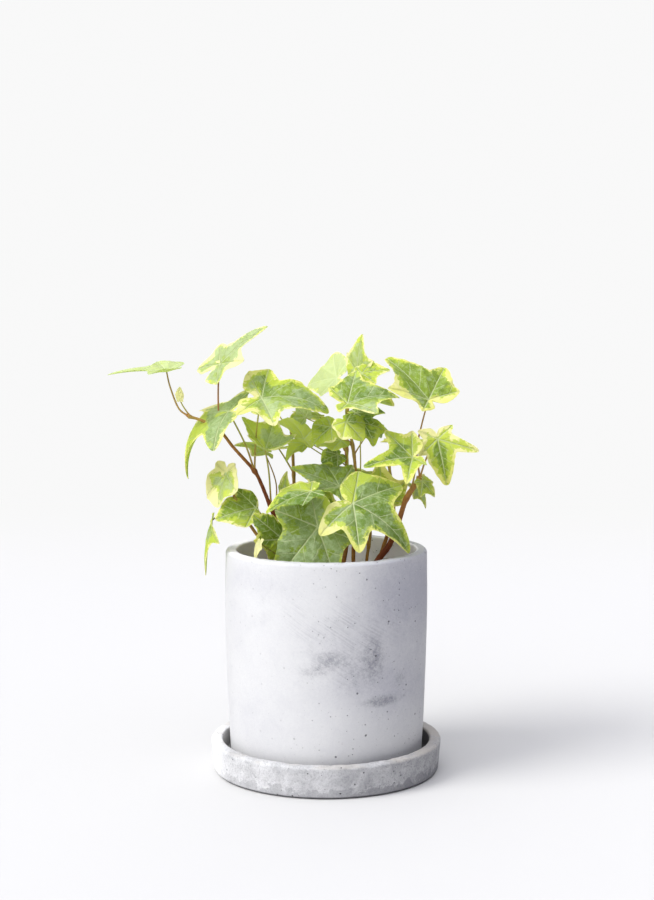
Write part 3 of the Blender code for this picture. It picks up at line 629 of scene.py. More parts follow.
vines["vine_rim"] = dict(
    radii=(1.2, 0.8),
    stem=[(-20, -14, 118), (-22, -14, 130), (-24, -13, 138)],
    leaves=[
        leaf((-27, -17, 146), (-45, -23, 162), (0.25, -0.9, 0.3), [(-24, -13, 138)],
             lobes=(0.78, 0.74, 1, 0.5, 0.4), turn=(-106, -42, 0, 60, 115), bend=(10, 10, 10, 70, 50),
             rise=0, point=(38, 38, 34, 32, 32),
             look=((2, 1.6, 1.2, 1.2, 1.6), (0.7, 0.2, 0.2, 0.2, 0.2), (0.4, 1, 1, 1, 1)), grey=0.1,
             teeth=0.08),
        leaf((-40, -28, 145), (-42, -30, 134), (-0.9, -0.4, 0.2), [(-22, -14, 130), (-33, -22, 139)],
             lobes=(0.5, 0.6, 1, 0.6, 0.5), look=(9, 1, -0.6))])
vines["vine_front_left"] = dict(
    radii=(1.4, 0.9),
    stem=[(-8, -14, 118), (-8, -16, 134), (-9, -15, 150), (-14, -10, 162)],
    leaves=[
        leaf((-5, -31, 155), (-30, -41, 124), (0, -0.95, 0.3), [(-9, -15, 150), (-7, -22, 155)],
             lobes=(0.6, 0.8, 1, 0.68, 0.66), turn=(-108, -56, 0, 74, 130), bend=(25, 25, 20, 15, 20),
             rise=8, point=(32, 32, 32, 40, 38),
             look=(0, (0.15, 0.15, 0, 0.15, 0.4), (0, 0, 0.15, 0.2, 0)), grey=0.85),
        leaf((-9, -36, 177), (-36, -42, 165), (-0.3, -0.35, 0.9), [(-14, -10, 162), (-14, -28, 168)],
             lobes=(0.4, 0.55, 1, 0.8, 0.5),
             look=((-3, -3, 0.3, 1.5, 2), (0, 0, 0.2, 1.4, 1.6), (1, 1, 0.7, 0.2, 0)), grey=0.7),
        leaf((-25, -6, 171), (-24, -3, 186), (-0.8, -0.5, 0.2), [(-14, -10, 162), (-20, -8, 167)],
             lobes=(0.5, 0.7, 1, 0.65, 0.5), look=(0.8, 0.4, 0.1), grey=0.7)])
vines["vine_front_right"] = dict(
    radii=(1.1, 0.8),
    stem=[(25, -8, 118), (25, -8, 132), (27, -13, 150), (23, -24, 162)],
    leaves=[
        leaf((16, -36, 170), (50, -34, 140), (0.5, -0.8, 0.5), [(23, -24, 162)],
             lobes=(0.55, 0.75, 1, 0.7, 0.6), turn=(-110, -60, 0, 55, 105), bend=(15, 25, 65, 40, 50),
             rise=3, point=(30, 30, 14, 20, 26), blunt=10,
             look=((0.5, 1.0, 0.8, 1.8, 4.2), (1.3, 0.4, 0.1, 0.1, 0.2), (0.3, 0.45, 0.55, 0.25, 0)),
             grey=0.85),
        leaf((8, -11, 177), (-22, -9, 188), (0.2, -0.6, 0.8),
             [(26, -10, 140), (20, -5, 158), (12, -6, 171)], lobes=(0.45, 0.55, 1, 0.7, 0.6),
             turn=(-110, -46, 0, 50, 100), bend=(30, 5, 20, 40, 10), rise=12, look=(0, 0.15, 0),
             grey=0.6)])
vines["vine_centre"] = dict(
    radii=(1.4, 0.8),
    stem=[(17, 6, 118), (17, 5, 140), (18, 4, 165), (18, 3, 186), (16, 2, 203), (13, 1, 216)],
    leaves=[
        leaf((-14, 12, 204), (-30, 6, 215), (0.6, -0.3, 0.7), [(18, 3, 184), (4, 9, 194)],
             lobes=(0.5, 0.9, 1, 0.95, 0.65), bend=(25, 5, 25, 30, 10), rise=16,
             point=(40, 42, 42, 42, 40), blunt=12, look=(-3, 5, -0.8), grey=0.1),
        leaf((-13, 15, 201), (-25, 12, 190), (-0.6, -0.5, 0.7), [(18, 4, 180), (4, 12, 190)],
             lobes=(0.5, 0.7, 1, 0.8, 0.5), bend=(25, 10, 50, 10, 25), rise=10, look=(-2, 1.5, -0.8)),
        leaf((-13, 20, 217), (-19, 22, 225), (-0.3, -0.7, 0.6), [(17, 2, 200), (2, 14, 210)],
             look=(-3, 0.1, -0.5), grey=0.8),
        leaf((3, -6, 213), (-8, -9, 203), (-0.2, -0.8, 0.5), [(16, 2, 202), (10, -3, 208)],
             lobes=(0.5, 0.7, 1, 0.75, 0.55), bend=(25, 20, 35, 20, 25), rise=9,
             point=(42, 45, 40, 45, 42), blunt=14,
             look=((-2, 1.5, -2, -3, -3), (1.5, 3, 0.8, 1, 1), (-0.3, -0.7, 0.2, 0.2, 0)), grey=0.1),
        leaf((9, 0, 204), (-6, -2, 201), (-0.1, -0.4, 0.9), [(18, 4, 166), (14, 3, 184), (13, 1, 196)],
             point=(42, 45, 40, 45, 42), blunt=12, look=(-3, 5, -0.8), grey=0.1),
        leaf((7, 4, 195), (-3, -2, 191), (0.1, -0.6, 0.8), [(18, 3, 178), (12, 4, 190)],
             point=(42, 45, 42, 45, 42), blunt=14, look=(-3, 0.3, 1), grey=0.1),
        leaf((12, -16, 217), (22, -20, 206), (0.3, -0.8, 0.5), [(14, 1, 212), (14, -9, 215)],
             lobes=(0.5, 0.8, 1, 0.8, 0.6), rise=0, point=(42, 42, 40, 42, 42), blunt=14,
             look=((-3, -3, -1, 1, 1), (0.6, 0.8, 1.5, 3, 3), (0.2, 0.2, -0.4, -0.8, -0.6)), grey=0.1),
        leaf((18, 2, 221), (36, 0, 221), (-0.1, -0.3, 0.9), [(13, 1, 216)],
             lobes=(0.5, 0.85, 1, 0.85, 0.5), rise=2, point=(40, 45, 40, 45, 40), blunt=12,
             look=(-3, 0.2, 1), grey=0.1),
        leaf((22, -10, 216), (29, -13, 202), (0.6, -0.7, 0.4),
             [(18, 4, 170), (21, 0, 186), (21, -4, 203)], lobes=(0.5, 1, 1, 0.8, 0.5),
             bend=(25, 15, 40, 20, 25), point=(36, 36, 34, 36, 36), blunt=10, look=(-1, 0.8, 0.5),
             grey=0.1),
        leaf((30, 14, 210), (40, 14, 208), (0.2, -0.5, 0.8), [(17, 3, 195), (24, 10, 205)],
             lobes=(0.5, 0.9, 1, 0.85, 0.5), look=(-3, 0.1, -0.2), grey=0.8),
        leaf((13, -14, 228), (45, -8, 231), (0, -0.4, 0.9), [(13, 1, 216), (12, -7, 223)],
             lobes=(0.55, 0.85, 1, 0.75, 0.5), turn=(-115, -65, 0, 55, 118), bend=(15, 5, 45, 40, 25),
             rise=18,
             look=((1.4, 0.6, 0.4, 0.6, 1.8), (0.3, 0.1, 0.05, 0.05, 0.5), (0.5, 0.1, 0.5, -0.3, 0.1)),
             grey=0.65)])
vines["vine_back"] = dict(
    radii=(1.6, 0.9),
    stem=[(10, 22, 118), (14, 24, 146), (13, 26, 185), (13, 26, 215), (14, 26, 234)],
    leaves=[
        leaf((20, 24, 245), (23, 22, 269), (-0.8, -0.6, 0.1), [(14, 26, 234)],
             lobes=(0.5, 0.7, 1, 0.7, 0.5), look=(1.6, 0.3, -0.5)),
        leaf((7, 36, 241), (-12, 56, 235), (-0.7, -0.4, 0.5), [(13, 26, 222), (10, 32, 234)],
             lobes=(0.5, 0.55, 1, 0.95, 0.5), turn=(-110, -50, 0, 60, 110), look=(0.3, 0, -0.9),
             grey=0.9),
        leaf((22, 11, 245), (40, 10, 247), (-0.1, -0.6, 0.8), [(14, 26, 228), (19, 14, 238)],
             lobes=(0.5, 0.75, 1, 0.8, 0.5), look=(1.4, 0.7, 0), grey=0.2, teeth=0.04),
        backLeaf((22, 44, 226), (44, 60, 222), (0.2, 0.5, 0.8), [(13, 26, 208), (18, 38, 220)]),
        backLeaf((-4, 40, 216), (-24, 54, 212), (-0.2, 0.5, 0.8), [(12, 26, 196), (2, 36, 210)])])
vines["vine_right"] = dict(
    radii=(2.2, 1.3), wood=1.0,
    stem=[(26, 4, 118), (33, 6, 130), (39, 6, 138), (44, 5, 150), (49, 5, 166), (54, 4, 175),
          (58, 4, 181)],
    leaves=[
        leaf((63, 4, 229), (37, 19, 255), (0.3, -0.6, 0.7), [(58, 4, 181), (56, 4, 198), (59, 4, 214)],
             lobes=(0.45, 0.7, 1, 0.8, 0.55), turn=(-115, -50, 0, 65, 110), bend=(20, 20, 25, 25, 15),
             rise=17, look=((6, 5, 2, 1.5, 4.5), 0.15, 0.1), grey=0.1, teeth=0.04, red=0.8),
        leaf((52, -22, 196), (22, -32, 191), (0.1, -0.6, 0.8),
             [(52, 5, 171), (54, -6, 183), (54, -15, 192)], lobes=(0.4, 0.8, 1, 0.75, 0.6),
             turn=(-110, -60, 0, 65, 110), bend=(15, 30, 30, 10, 20), rise=18, point=(24, 20, 17, 30, 34),
             look=((1.2, 1.2, 1, 1.2, 1.5), (0.4, 0.5, 0.4, 0.7, 0.9), (0.6, 0.8, 0.6, 0.6, 0.1)),
             grey=0.25, teeth=0.04, red=0.5),
        leaf((68, -8, 206), (74, -6, 177), (0, -1, 0.15), [(58, 4, 181), (62, 0, 194)],
             lobes=(0.42, 0.88, 1, 0.52, 0.44), turn=(-120, -62, 0, 60, 125), bend=(45, 20, 45, 40, 15),
             rise=6, point=(30, 14, 24, 26, 30),
             look=((1.2, 2, 1.5, 2, 2), (1.0, 1.2, 0.5, 1.2, 1.5), (-0.5, -0.5, 0.5, -0.2, -0.5)),
             grey=0.1, teeth=0.04, red=0.6),
        leaf((59, 2, 179), (67, 1, 169), (0.6, -0.7, 0.5), [(54, 4, 175)], lobes=(0.5, 0.7, 1, 0.9, 0.5),
             look=(0.8, 0.5, 0.2), grey=0.2),
        leaf((55, 12, 174), (62, 9, 161), (0.8, -0.4, 0.5), [(50, 5, 168)], look=(0.6, 0.2, -0.3),
             grey=0.8)])
vines["vine_back_right"] = dict(
    radii=(1.5, 0.9),
    stem=[(32, 28, 118), (39, 31, 141), (43, 33, 153), (42, 34, 170), (40, 34, 186)],
    leaves=[
        backLeaf((48, 36, 200), (60, 60, 196), (0.3, 0.5, 0.8), [(40, 34, 186)]),
        backLeaf((30, 46, 178), (12, 68, 172), (-0.1, 0.6, 0.8), [(38, 33, 166), (34, 41, 174)]),
        backLeaf((37, 22, 166), (33, 14, 190), (-0.2, -0.8, 0.4), [(37, 32, 158), (39, 27, 162)])])
vines["vine_back_left"] = dict(
    radii=(1.5, 0.9),
    stem=[(-16, 26, 118), (-18, 28, 140), (-20, 29, 165), (-21, 28, 190), (-22, 26, 208)],
    leaves=[
        backLeaf((-34, 36, 222), (-44, 50, 232), (-0.5, -0.4, 0.7), [(-22, 26, 208)]),
        backLeaf((-30, 34, 196), (-44, 54, 190), (-0.4, 0.5, 0.8), [(-20, 28, 180), (-26, 31, 190)]),
        backLeaf((-12, 42, 172), (-2, 64, 160), (0.1, 0.6, 0.8), [(-19, 29, 156), (-15, 37, 168)]),
        backLeaf((-6, 14, 166), (8, 8, 182), (0.1, -0.7, 0.7), [(-18, 28, 144), (-11, 20, 158)])])


def unit(vector):
    vector = np.asarray(vector, float)
    return vector / np.linalg.norm(vector)


def marginReach(angles, spec):
    # How far the margin lies from the joint at each angle from the tip, for a middle lobe of length
    # 1. Each lobe has straight sides that meet in a blunt point, fades beside it, and runs into the
    # next: the lobes' reaches are added as powers.
    blunt = radians(spec["blunt"])
    full, fade = radians(leafForm["fullTo"]), radians(leafForm["fade"])
    reach = np.zeros_like(angles)
    for length, centre, half in zip(spec["lobes"], np.radians(spec["turn"]), np.radians(spec["point"])):
        off = np.hypot((angles - centre + pi) % tau - pi, blunt) - blunt
        side = np.sin(half) / np.sin(np.minimum(half + off, pi / 2))
        reach += (length * side * np.exp(-(np.maximum(off - full, 0) / fade) ** 2)) ** leafForm["blend"]
    return np.maximum(reach ** (1 / leafForm["blend"]), leafForm["notch"])


def bladeFrame(spec):
    # The blade's axes (across, along, up) and its middle lobe's length, so that the lobe ends on
    # the leaf's tip although it leaves the joint at its rise and bends down evenly
    rise, bend = radians(spec["rise"]), radians(spec["bend"][2])
    forward = (sin(rise) - sin(rise - bend)) / bend
    upward = (cos(rise - bend) - cos(rise)) / bend
    reach = np.subtract(spec["tip"], spec["at"]).astype(float)
    chord = unit(reach)
    face = np.asarray(spec["face"], float)
    face = unit(face - chord * (face @ chord))
    tilt = np.arctan2(upward, forward)
    along = cos(tilt) * chord - sin(tilt) * face
    up = sin(tilt) * chord + cos(tilt) * face
    return np.cross(along, up), along, up, np.linalg.norm(reach) / hypot(forward, upward)


def bladeSkin(spec, seed):
    # The blade: rays run from the joint to the margin, each leaving at the rise, higher between two
    # veins, and bending down through an arc. Grooves run along the veins, the leaf swells between
    # the side veins, and the margin waves. Both faces and the margin make one closed skin.
    form = leafForm
    rng = np.random.default_rng(seed)
    acrossAxis, alongAxis, upAxis, length = bladeFrame(spec)
    rayCount, rings = form["rays"], form["rings"]
    if length < form["smallLeaf"]:
        rayCount, rings = form["smallRays"], form["smallRings"]
    turn = spec["turn"]
    corners = np.radians([-180, *turn, 180])
    angles = np.concatenate([
        np.linspace(a, b, max(3, round((b - a) / tau * rayCount)), endpoint=False)
        for a, b in zip(corners[:-1], corners[1:])])
    columns = len(angles)
    centres = np.radians([turn[-1] - 360, *turn, turn[0] + 360])
    left = np.clip(np.searchsorted(centres, angles, side="right") - 1, 0, len(centres) - 2)
    way = (angles - centres[left]) / (centres[left + 1] - centres[left])
    smooth = way * way * (3 - 2 * way)

    def aroundLobes(values):
        # One number for the leaf, or one for each lobe, as a number for each ray
        values = np.broadcast_to(values, 5)
        values = np.array([values[-1], *values, values[0]])
        return values[left] * (1 - smooth) + values[left + 1] * smooth

    bend = np.radians(aroundLobes(spec["bend"]))
    bend = np.where(np.abs(bend) < 0.001, 0.001, bend)
    rise = np.radians(spec["rise"] + form["fold"] * (1 - np.abs(2 * way - 1)))
    stray = sum(np.sin(angles * k + rng.uniform(0, tau)) / k ** 0.5 for k in form["strayWaves"])
    teeth = np.abs(angles / radians(form["toothTurn"]) % 1 - 0.5) * (1 + 0.5 * np.sin(angles * 9))
    margin = marginReach(angles, spec) * (1 + form["uneven"] * stray - spec["teeth"] * teeth)
    shares = np.linspace(0, 1, rings + 1)[1:, None] ** form["ringPower"]
    reach = margin * shares
    forward = (np.sin(rise) - np.sin(rise - bend * reach)) / bend
    upward = (np.cos(rise - bend * reach) - np.cos(rise)) / bend
    flat = np.sin(angles)[:, None] * acrossAxis + np.cos(angles)[:, None] * alongAxis
    middle = np.array(spec["at"]) + length * (forward[..., None] * flat + upward[..., None] * upAxis)
    # where each point lies on the flattened leaf, in mm, and beside its nearest vein
    flatX, flatY = reach * np.sin(angles) * length, reach * np.cos(angles) * length
    off = np.where(way < 0.5, way, way - 1) * (centres[left + 1] - centres[left])
    alongVein, besideVein = reach * np.cos(off) * length, reach * np.sin(off) * length
    flatPoints = np.stack([flatX, flatY], 2)
    toMargin = np.linalg.norm(flatPoints[:, :, None] - flatPoints[-1], axis=3).min(2)
    # relief along the surface's own normal
    sideways = np.roll(middle, -1, 1) - np.roll(middle, 1, 1)
    outward = np.gradient(middle, axis=0)
    normal = np.cross(sideways, outward)
    normal /= np.maximum(np.linalg.norm(normal, axis=2, keepdims=True), 1e-9)
    youth = max(0.0, -np.mean(spec["look"][2]))      # pale leaves are young and smooth
    scale = min(1.0, length / form["fullRelief"]) * (1 - (1 - form["youngRelief"]) * youth)
    ribs = (alongVein - np.abs(besideVein) * form["ribSlant"]) / (form["ribSpacing"] * length)
    ribs = ribs + 0.5 * (besideVein > 0)        # they leave the vein's two sides in turn
    swell = np.clip(np.abs(besideVein) / (form["quiltFrom"] * length), 0, 1)
    quilt = (1 - np.cos(tau * ribs)) * 0.5 * swell
    fadeOut = np.clip(toMargin / (form["flatEdge"] * length), 0, 1)
    groove = np.exp(-(besideVein / (form["grooveWidth"] * scale)) ** 2) * np.clip(shares * 6, 0, 1)
    ripple = sum(np.sin(angles * k + rng.uniform(0, tau)) for k in form["rippleWaves"]) / 2
    lift = (quilt * form["quilt"] - groove * form["groove"]) * fadeOut * scale
    lift = lift + ripple * shares ** 3 * form["wave"] * length * (1 - (1 - form["youngWave"]) * youth)
    half = form["thickness"] * 0.5
    thick = half * (1 - form["edgeThinner"] * shares ** 6) * (1 + 0.6 * groove * scale)
    top = middle + normal * (lift + thick)[..., None]
    under = middle + normal * (lift - thick)[..., None]
    joint, jointNormal = np.array(spec["at"], float), unit(normal[0].mean(0))
    above, below = joint + jointNormal * half, joint - jointNormal * half
    shape = skin(np.concatenate([top, under[::-1]]), above, below)

    def both(grid, pole):
        # The upper side's values, which the under side repeats, with the poles' own
        grid = np.broadcast_to(grid, (rings, columns))
        return np.concatenate([[pole], np.concatenate([grid, grid[::-1]]).ravel(), [pole]])

    onUnder = np.concatenate([[0], np.repeat([0.0, 1.0], rings * columns), [1]])
    one = np.ones_like(onUnder)
    looks = [aroundLobes(value) for value in spec["look"]]
    shape["values"] = {
        "leafPlace": np.stack([both(flatX, 0) + seed * 130.0, both(flatY, 0), one * length], 1),
        "veinPlace": np.stack([both(alongVein, 0), both(np.abs(besideVein), 0),
                               both(toMargin, toMargin.max())], 1),
        "leafLook": np.stack([both(look, look.mean()) for look in looks], 1),
        "leafSide": np.stack([onUnder, both(besideVein > 0, 0), one * spec["grey"]], 1)}
    return shape


def tubeSkin(path, radii, sides, wood, red, bark=0.0, seed=0):
    # A circle carried along the path, with its frame turned as little as possible on the way, and
    # its radius varied by waves where it has bark
    ahead = np.gradient(path, axis=0)
    ahead /= np.linalg.norm(ahead, axis=1, keepdims=True)
    side = np.cross(ahead[0], (0.3, 1.0, 0.2))
    across = []
    for direction in ahead:
        side = unit(side - direction * (side @ direction))
        across.append(side)
    first = np.array(across)
    second = np.cross(ahead, first)
    angles = np.linspace(0, tau, sides, endpoint=False)
    ring = np.cos(angles)[:, None] * first[:, None] + np.sin(angles)[:, None] * second[:, None]
    rows = path[:, None] + ring * radii[:, None, None]
    if bark:
        rough = waves(rows, stemForm["barkWave"], seed) * bark * radii[:, None] / radii.max()
        rows = rows + ring * rough[..., None]
    shape = skin(rows, path[0] - ahead[0] * radii[0] * 0.4, path[-1] + ahead[-1] * radii[-1] * 0.4)
    woody = np.repeat(wood, sides)
    run = np.repeat(np.linspace(0, 1, len(path)), sides)
    look = np.stack([woody, run, woody * 0 + red], 1)
    shape["values"] = {"stemLook": np.concatenate([look[:1], look, look[-1:]])}
    return shape


def stemSkins(vine, seed):
    # The stem, with a knot where each leaf stalk leaves it, and the stalks, flared at their feet
    x, y, _ = vine["stem"][0]
    path, share = smoothPath([(x, y, stemForm["foot"]), *vine["stem"]], stemForm["step"])
    radii = vine["radii"][0] + (vine["radii"][1] - vine["radii"][0]) * share
    for spec in vine["leaves"]:
        away = np.linalg.norm(path - np.array(spec["stalk"][0], float), axis=1)
        knot = stemForm["knot"] * np.exp(-(away / stemForm["knotLength"]) ** 2)
        radii = radii * (1 + knot * (away.min() < stemForm["knotReach"]))
    wood = vine.get("wood", stemForm["wood"]) * (1 - stemForm["woodLoss"] * share)
    made = [tubeSkin(path, radii, stemForm["sides"], wood, stemForm["red"], stemForm["bark"], seed)]
    for spec in vine["leaves"]:
        _, _, up, length = bladeFrame(spec)
        joint = np.array(spec["at"], float) - up * stalkForm["sink"]
        path, share = smoothPath([*spec["stalk"], joint], stalkForm["step"])
        walked = np.concatenate([[0], np.cumsum(np.linalg.norm(np.diff(path, axis=0), axis=1))])
        radii = stalkForm["radius"] + (stalkForm["tipRadius"] - stalkForm["radius"]) * share
        radii = radii * (stalkForm["small"] if length < leafForm["smallLeaf"] else 1)
        radii = radii + stalkForm["flare"] * np.exp(-(walked / stalkForm["flareLength"]) ** 2)
        wood = stalkForm["wood"] * (1 - share) ** 1.5
        made.append(tubeSkin(path, radii, stalkForm["sides"], wood, spec["red"]))
    return made


ivyLook = dict(
    grey=(0.49, 0.60, 0.35), middle=(0.39, 0.52, 0.075), deep=(0.100, 0.200, 0.020),
    pale=(0.74, 0.79, 0.41), lime=(0.64, 0.74, 0.08), brightLime=(0.80, 0.86, 0.13),
    cream=(0.96, 0.93, 0.52), gold=(0.87, 0.88, 0.27), vein=(0.72, 0.79, 0.46), under=(0.62, 0.70, 0.24),
    # the light that comes through: its colours, and its share of all light from a leaf
    through=(0.70, 0.82, 0.12), creamThrough=(0.98, 0.95, 0.40), translucent=0.40,
    patchSize=5.0, fleckSize=2.6, netSize=2.6, blurSize=9, broadSize=15, jagSize=1.6, bendSize=8,
    poreSize=1.2,
    ragged=((6.5, 3, 0.6, 7.0), (2.4, 3, 0.6, 5.0)),    # the margin's waves, and how far each strays
    limeStep=7.0,                                       # how far lime goes in, in mm, for a reach of 1
    # stems and stalks
    oldWood=(0.20, 0.048, 0.018), youngWood=(0.42, 0.20, 0.055), green=(0.42, 0.44, 0.08),
    redStalk=(0.34, 0.11, 0.06), darkBark=(0.05, 0.018, 0.012), barkSize=2.2)


def ivyLeaf(s):
    # Greens in patches that the veins bound, a ragged lime and cream margin, and paler veins
    p = Paint("ivyLeaf")
    at, vein, look = p.attribute("leafPlace"), p.attribute("veinPlace"), p.attribute("leafLook")
    side = p.attribute("leafSide")
    under, onLeft, greyness = side.part(0), side.part(1), side.part(2)
    length = at.part(2)
    along, beside, inside = vein.part(0), vein.part(1), vein.part(2)
    creamWidth, limeReach, tone = look.part(0), look.part(1), look.part(2)
    size = s["patchSize"]
    drift = p.add("ShaderNodeTexNoise", {}, {"Vector": at * (1 / size), "Scale": 1.0}, "Color")
    bent = at + (drift - (0.5, 0.5, 0.5)) * size
    patch = p.cells(bent, size, output="Color")
    first, second = patch.part(0), patch.part(1)
    blur = p.noise(at, s["blurSize"], 3, 0.55)
    # grey-green patches: partly the leaf's own colour, partly a painted sheen on the upper side
    colour = p.mix((first - greyness).step(-0.15, 0.05), s["grey"], s["middle"])
    # partly painted light: the tone deepens the green on sunlit leaves and pales it on shaded ones and as
    # a painted sheen
    colour = p.mix((tone + 0.30) * (0.1 + second * 1.2), colour, s["deep"])
    colour = p.mix((0 - tone) * (0.55 + second * 0.45), colour, s["pale"])
    fleck = p.noise(at, s["fleckSize"], 4, 0.7)
    colour = p.mix(fleck.step(0.44, 0.58) * (1 + tone * 0.8) * 0.42, colour, s["deep"])
    colour = p.mix((1 - fleck.step(0.36, 0.50)) * 0.55, colour, s["grey"])
    creamWidth = creamWidth * (0.1 + p.noise(at, s["broadSize"], 2).step(0.30, 0.70) * 1.8)
    ragged = inside + sum((p.noise(at, *wave) - 0.5) * stray for *wave, stray in s["ragged"])
    ragged = ragged + (p.cells(at, s["jagSize"]) - 0.5) * 2.0
    limeEdge = creamWidth + limeReach * s["limeStep"]
    lime = 1 - (ragged + (second - 0.5) * 4.0).step(limeEdge - 0.8, limeEdge + 0.8)
    # painted light: leaves of pale tone get a brighter lime, which lightens them in shade
    colour = p.mix(lime * (0.50 + blur * 0.6), colour, p.mix(0 - tone, s["lime"], s["brightLime"]))
    cream = 1 - ragged.step(creamWidth - 0.6, creamWidth + 0.5)
    edge = p.mix((tone + (blur - 0.5) * 1.6).step(-0.30, 0.35), s["cream"], s["gold"])
    colour = p.mix(cream * 0.95, colour, edge)
    # veins: one along each lobe, side veins that leave it at a slant, and a fine net between
    mainWidth = (1 - along / length) * 0.30 + 0.08
    main = 1 - beside.step(mainWidth, mainWidth + 0.35)
    wobble = (p.noise(at, s["bendSize"], 2) - 0.5) * 0.35 + onLeft * 0.5
    rib = (along - beside * leafForm["ribSlant"]) / (length * leafForm["ribSpacing"]) + wobble
    ribAway = (rib.calc("FRACT") - 0.5).calc("ABSOLUTE") * length * (leafForm["ribSpacing"] * 0.75)
    ribs = (1 - ribAway.step(0.10, 0.42)) * inside.step(0.4, 2.5)
    net = 1 - p.cells(bent, s["netSize"], "DISTANCE_TO_EDGE").step(0.0, 0.08)
    net = net * tone.step(-0.8, 0.2)
    pale = main * 0.80 + ribs * 0.55 + net * 0.32
    colour = p.mix(pale.step(0.0, 1.0) * (1 - cream * 0.5 - lime * 0.2), colour, s["vein"])
    colour = p.mix(under * 0.45, colour, s["under"])
    relief = p.noise(at, s["poreSize"], 3) * 0.25 - main - ribs * 0.6 - net * 0.3
    relief = p.bump(relief * (0.1 + tone.step(-0.9, -0.3)), 0.40)
    skinShader = p.principled(Base_Color=colour, Roughness=0.45 + under * 0.25 + blur * 0.15,
                              Specular_IOR_Level=0.25, Normal=relief)
    greenLight = p.add("ShaderNodeBsdfTranslucent", {}, {"Color": s["through"]})
    creamLight = p.add("ShaderNodeBsdfTranslucent", {}, {"Color": s["creamThrough"]})
    light = p.add("ShaderNodeMixShader", {}, {0: cream, 1: greenLight, 2: creamLight})
    return p.finish(p.add("ShaderNodeMixShader", {}, {0: s["translucent"], 1: skinShader, 2: light}))


def ivyStem(s):
    # Red-brown bark low on the stem, olive further up, and green stalks
    p = Paint("ivyStem")
    look = p.attribute("stemLook")
    wood = look.part(0)
    at = p.place()
    grain = p.noise(at, s["barkSize"], 4, 0.6)
    colour = p.mix(look.part(2) * (0.6 + grain * 0.6), s["green"], s["redStalk"])
    colour = p.mix((wood + (grain - 0.5) * 0.25).step(0.12, 0.42), colour, s["youngWood"])
    colour = p.mix((wood + (grain - 0.5) * 0.3).step(0.35, 0.70), colour, s["oldWood"])
    colour = p.mix(grain.step(0.55, 0.75) * 0.35 * wood, colour, s["darkBark"])
    relief = p.bump(grain, 0.25)
    return p.finish(p.principled(Base_Color=colour, Roughness=0.5 + wood * 0.2, Specular_IOR_Level=0.2,
                                 Normal=relief))


leafMaterial = ivyLeaf(ivyLook)
stemMaterial = ivyStem(ivyLook)
seed = 1
for name, vine in vines.items():
    blades = []
    for spec in vine["leaves"]:
        blades.append(bladeSkin(spec, seed))
        seed += 1
    bladesShape, stemsShape = gathered(blades), gathered(stemSkins(vine, seed))
    leavesPiece = makePiece(name + "_leaves", bladesShape, leafMaterial, leafForm["sharpAngle"])
    stemsPiece = makePiece(name + "_stems", stemsShape, stemMaterial)
    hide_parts(name)
    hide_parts(name)
    print(name, "made:", len(blades), "leaves,", len(leavesPiece.data.polygons), "faces")


# Studio, in metres: a white floor and backdrop, soft light from the left, and the photograph's camera

studio = dict(
    floorSize=(8.0, 8.0), floorDrop=0.0002, floorColour=(0.608, 0.605, 0.594),
    wallDistance=3.9, wallSize=(4.6, 4.0), wallDrop=0.01,
    glow=0.945, glowFrom=0.45, glowFull=1.3,     # the floor's far part and the wall shine by themselves
    # each light: where it comes from, how wide it is, its strength and its colour
    lights=dict(keyLight=((-0.80, -0.38, 0.82), 30.0, 2.5, (1.0, 0.995, 0.97)),
                frontLight=((-0.60, -1.0, 0.30), 70.0, 1.5, (0.97, 0.975, 1.05)),
                topLight=((0, 0, 1), 105.0, 2.6, (0.97, 0.975, 1.05))),
    room=(0.075, 0.077, 0.10))
camera = dict(place=(0.0005, -0.990, 0.293), pitch=5.45, lens=64.6, sensor=36.0)    # lens, sensor in mm


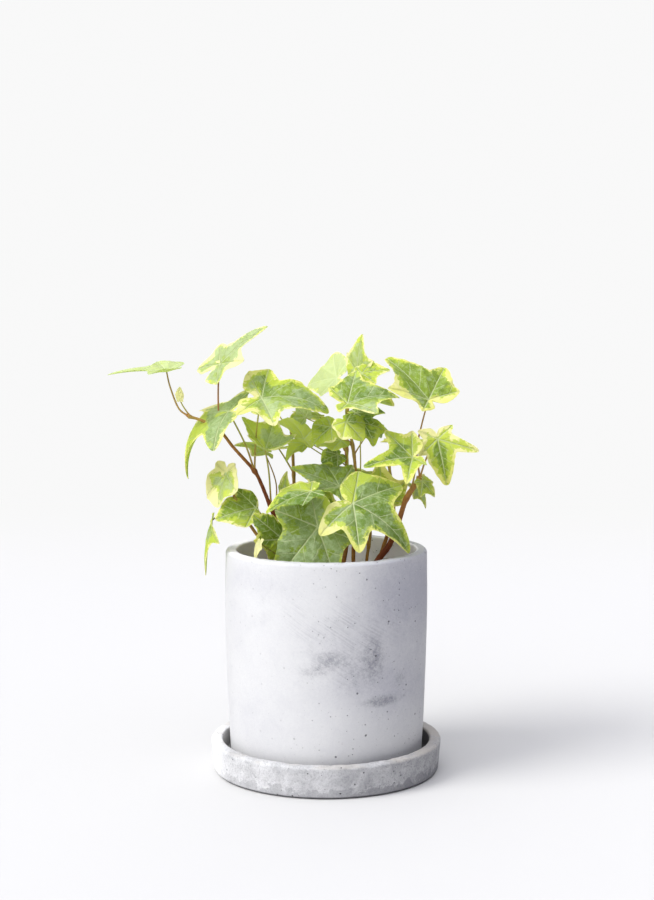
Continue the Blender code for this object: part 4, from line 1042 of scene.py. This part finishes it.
def plainPlane(name, size, place, rotation, material):
    bpy.ops.mesh.primitive_plane_add(size=1, location=place, rotation=rotation)
    plane = bpy.context.active_object
    plane.name = name
    plane.scale = (*size, 1)
    plane.data.materials.append(material)


def sunLight(name, direction, angle, strength, colour):
    lamp = bpy.data.lights.new(name, "SUN")
    lamp.energy = strength
    lamp.angle = radians(angle)
    lamp.color = colour
    light = bpy.data.objects.new(name, lamp)
    light.rotation_euler = Vector(direction).to_track_quat("Z", "Y").to_euler()
    bpy.context.scene.collection.objects.link(light)


def makeStudio(s):
    p = Paint("studioFloor")
    far = p.add("ShaderNodeNewGeometry", {}, {}, "Position").part(1).step(s["glowFrom"], s["glowFull"])
    glow = p.add("ShaderNodeEmission", {}, {"Color": (1.0, 1.0, 1.0), "Strength": s["glow"]})
    matt = p.principled(Base_Color=s["floorColour"], Roughness=1.0, Specular_IOR_Level=0.0)
    floor = p.finish(p.add("ShaderNodeMixShader", {}, {0: far, 1: matt, 2: glow}))
    plainPlane("studioFloor", s["floorSize"], (0, 0, -s["floorDrop"]), (0, 0, 0), floor)
    p = Paint("studioWall")
    wall = p.finish(p.add("ShaderNodeEmission", {}, {"Color": (1.0, 1.0, 1.0), "Strength": s["glow"]}))
    wallMiddle = (0, s["wallDistance"], s["wallSize"][1] / 2 - s["wallDrop"])
    plainPlane("studioWall", s["wallSize"], wallMiddle, (radians(90), 0, 0), wall)
    for name, (direction, angle, strength, colour) in s["lights"].items():
        sunLight(name, direction, angle, strength, colour)
    world = bpy.data.worlds.new("studioRoom")
    world.use_nodes = True
    world.node_tree.nodes["Background"].inputs["Color"].default_value = (*s["room"], 1)
    bpy.context.scene.world = world
    bpy.context.scene.view_settings.view_transform = "Standard"


def makeCamera(s):
    lens = bpy.data.cameras.new("camera")
    lens.sensor_fit = "VERTICAL"
    lens.sensor_height = s["sensor"]
    lens.lens = s["lens"]
    eye = bpy.data.objects.new("camera", lens)
    eye.location = s["place"]
    eye.rotation_euler = (radians(90 - s["pitch"]), 0, 0)
    bpy.context.scene.collection.objects.link(eye)
    bpy.context.scene.camera = eye


makeStudio(studio)
makeCamera(camera)
print("studio and camera set")
